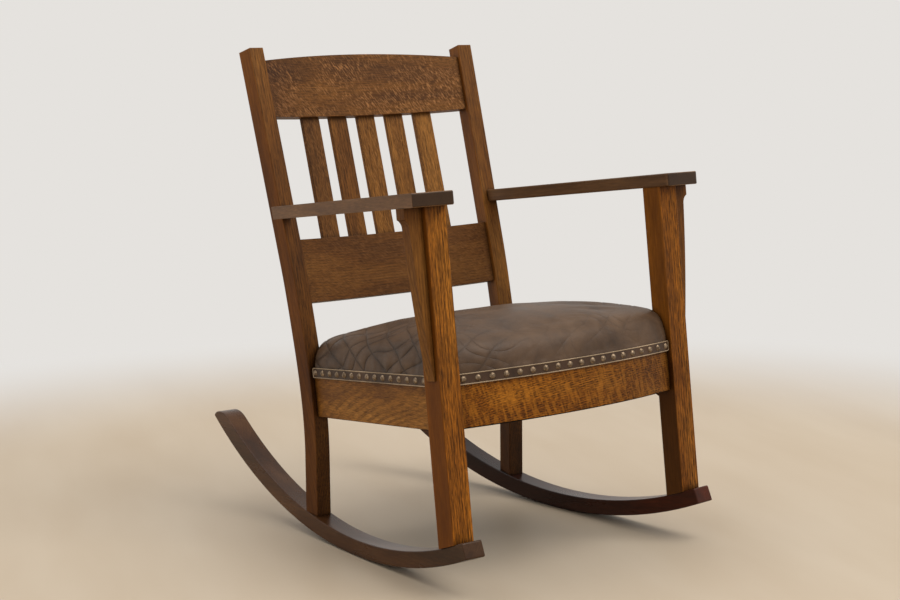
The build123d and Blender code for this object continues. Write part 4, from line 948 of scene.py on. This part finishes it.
# Depths pressed into the cover, how high and how far in the pleats reach, and the scales of
# their noise along the edge and up
FOLD_SIZE = 0.0016
DENT_SIZE = 0.0022
PLEAT_SIZE = 0.0026
SMALL_PLEAT_SIZE = 0.0012
PLEAT_RISE = 0.06
SIDE_REACH = 0.05
PLEAT_WAVES = (34, 5)
SMALL_PLEAT_WAVES = (75, 9)
DENT_WAVES = 11
FRONT_SEED = 3.1
SIDE_SEED = 8.7
SMALL_SEED = 5.3


def pleat(piece):
    """Crossed folds, soft pleats that rise from the tacked edge, and a few shallow dents."""
    outward = [p.normal.copy() for p in piece.data.vertices]
    for p, normal in zip(piece.data.vertices, outward):
        x, v, w = frame_spot(p.co)
        beside = abs(x) > side_x(v, 0) - SIDE_REACH
        run = v if beside else x
        rise = max(0.0, w - RAIL_TOP)
        seed = SIDE_SEED if beside else FRONT_SEED
        fold = noise.noise(Vector((run * PLEAT_WAVES[0], rise * PLEAT_WAVES[1], seed)))
        small = noise.noise(Vector((run * SMALL_PLEAT_WAVES[0], rise * SMALL_PLEAT_WAVES[1], SMALL_SEED)))
        broad = noise.noise(Vector((x * DENT_WAVES, v * DENT_WAVES, w * DENT_WAVES)))
        fade = max(0.0, 1.0 - rise / PLEAT_RISE)
        push = (PLEAT_SIZE * fold + SMALL_PLEAT_SIZE * small) * fade
        push += DENT_SIZE * broad - FOLD_SIZE * fold_depth(x, v, w)
        p.co += normal * (push * (1.0 - held_share(p.co)))


seat = cushion(SLACK)
for side in (-1, 1):
    notch(seat, side, FRONT_CLEAR[0], NOTCH_FRONT_V, FRONT_CLEAR[1])
    notch(seat, side, REAR_CLEAR[0], REAR_CLEAR[1], NOTCH_BACK_V)
puff(seat)
finer = seat.modifiers.new("finer", "SUBSURF")
finer.levels = 1
apply(seat, finer)
pleat(seat)
for face in seat.data.polygons:
    face.use_smooth = True
seat.data.materials.clear()
seat.data.materials.append(seat_hide)
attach(seat, "root")
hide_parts("seat_leather", "seat_stuffing")


# Thin rolled edges of the nailed band
BAND_HEIGHT = 0.018
BAND_OUT = 0.0037
CORD_RADIUS = 0.0009
CORD_INSET = 0.0006
CORD_CORNER = 0.003
CORD_STEP = 0.012
BEND_STEPS = 6
FRONT_BAND_X = 0.238
FRONT_BAND_W = RAIL_TOP - BAND_HEIGHT / 2
SIDE_BAND_W = 0.318
SIDE_BAND_GAP = 0.0007


def edge_cord(name, points):
    """Thin closed cord through points."""
    curve = bpy.data.curves.new(name, "CURVE")
    curve.dimensions = "3D"
    curve.bevel_depth = CORD_RADIUS
    curve.bevel_resolution = 2
    line = curve.splines.new("POLY")
    line.points.add(len(points) - 1)
    for spot, place in zip(line.points, points):
        spot.co = (place.x, place.y, place.z, 1)
    line.use_cyclic_u = True
    drawn = add_piece(name + "_line", curve)
    bpy.context.view_layer.update()
    tube = bpy.data.meshes.new_from_object(drawn)
    bpy.data.objects.remove(drawn)
    for face in tube.polygons:
        face.use_smooth = True
    tube.materials.clear()
    tube.materials.append(piping)
    piece = add_piece(name, tube)
    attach(piece, "root")


def band_edge(width):
    """Rounded rectangle along the band's edge about the origin, as pairs."""
    half_width = width / 2 - CORD_CORNER
    half_height = BAND_HEIGHT / 2 - CORD_INSET - CORD_CORNER
    bends = []
    for right, up, start in ((1, 1, 0), (-1, 1, 90), (-1, -1, 180), (1, -1, 270)):
        for k in range(BEND_STEPS + 1):
            angle = radians(start + 90 / BEND_STEPS * k)
            bends.append((
                right * half_width + CORD_CORNER * cos(angle),
                up * half_height + CORD_CORNER * sin(angle),
            ))
    points = []
    for a, b in zip(bends, bends[1:] + bends[:1]):
        steps = max(1, int(gap(a, b) / CORD_STEP))
        for k in range(steps):
            points.append(between(a, b, k / steps))
    return points


edge_cord("band_edge_front", [
    at(x, front_v(x, BAND_OUT), FRONT_BAND_W + up) for x, up in band_edge(2 * FRONT_BAND_X)
])
for side, name in ((-1, "left"), (1, "right")):
    points = []
    for along, up in band_edge(SIDE_LENGTH - 2 * SIDE_BAND_GAP):
        run = SIDE_LENGTH / 2 + along
        x = SIDE_FRONT_X - run * sin(SIDE_TILT) + BAND_OUT * cos(SIDE_TILT)
        v = SIDE_FRONT_V + run * cos(SIDE_TILT) + BAND_OUT * sin(SIDE_TILT)
        points.append(at(side * x, v, SIDE_BAND_W + up))
    edge_cord("band_edge_" + name, points)


# Floor, light and background
WALL = linear(229, 226, 222)
FLOOR_RADIUS = 30
FLOOR_DROP = 0.0006
FADE_REACH = 4.0


def background_rays(net):
    """1 for the rays that show the background, 0 for the rays that light the object."""
    ray = net.add("ShaderNodeLightPath")
    total = ray.outputs["Is Camera Ray"]
    for name in ("Is Glossy Ray", "Is Transmission Ray"):
        total = net.math("MAXIMUM", total, ray.outputs[name])
    return total


def glow(net, kind, colour, strength=1.0):
    """Shader that shines by itself."""
    node = net.add(kind)
    node.inputs["Color"].default_value = colour
    node.inputs["Strength"].default_value = strength
    return node.outputs[0]


def stage_floor():
    """Pale floor that runs out into the colour of the wall."""
    mesh = bmesh.new()
    bmesh.ops.create_circle(mesh, cap_ends=True, radius=FLOOR_RADIUS, segments=96)
    piece = mesh_piece("floor", mesh)
    piece.location.z = -FLOOR_DROP
    net = Skin("pale_floor")
    cloud = net.noise(net.place((0, 0, 0.4), (1, 0.25, 1)), scale=5)
    colour = net.ramp(cloud, [(0.3, linear(191, 172, 147)), (0.7, linear(199, 182, 159))])
    net.surface(colour=colour, rough=0.5, shine=0.2)
    length = net.add("ShaderNodeVectorMath", operation="LENGTH")
    net.put(length.inputs[0], net.place())
    far = net.math("DIVIDE", length.outputs["Value"], FADE_REACH)
    fade = net.ramp(far, [(0.26, 0.0), (0.56, 1.0)], True)
    share = net.times(fade, background_rays(net))
    wall = glow(net, "ShaderNodeEmission", WALL)
    net.put(net.out.inputs[0], net.blend(share, net.skin.outputs[0], wall))
    piece.data.materials.append(net.material)


def lamp(name, place, aim_height, size, power, colour=(1, 1, 1)):
    """Soft square lamp, aimed at a height over the origin."""
    data = bpy.data.lights.new(name, "AREA")
    data.shape = "SQUARE"
    data.size = size
    data.energy = power
    data.color = colour
    piece = add_piece(name, data)
    piece.location = place
    piece.rotation_mode = "QUATERNION"
    aim = Vector((0, 0, aim_height)) - Vector(place)
    piece.rotation_quaternion = aim.to_track_quat("-Z", "Y")


def stage_world():
    """Even light on the object and the colour of the wall behind it."""
    world = bpy.data.worlds.new("world")
    bpy.context.scene.world = world
    world.use_nodes = True
    net = Net(world.node_tree, "ShaderNodeOutputWorld")
    light = glow(net, "ShaderNodeBackground", (1, 1, 1, 1), 0.5)
    wall = glow(net, "ShaderNodeBackground", WALL)
    net.put(net.out.inputs[0], net.blend(background_rays(net), light, wall))


stage_floor()
lamp("window", place=(1.8, -3.3, 5.5), aim_height=0.45, size=4.6, power=262, colour=(1.0, 0.985, 0.96))
lamp("fill", place=(-3.4, -1.4, 2.4), aim_height=0.45, size=2.6, power=10)
lamp("above", place=(-0.6, 1.2, 3.8), aim_height=0.3, size=3.0, power=50)
stage_world()

bpy.context.scene.view_settings.view_transform = "Standard"

bpy.context.view_layer.update()
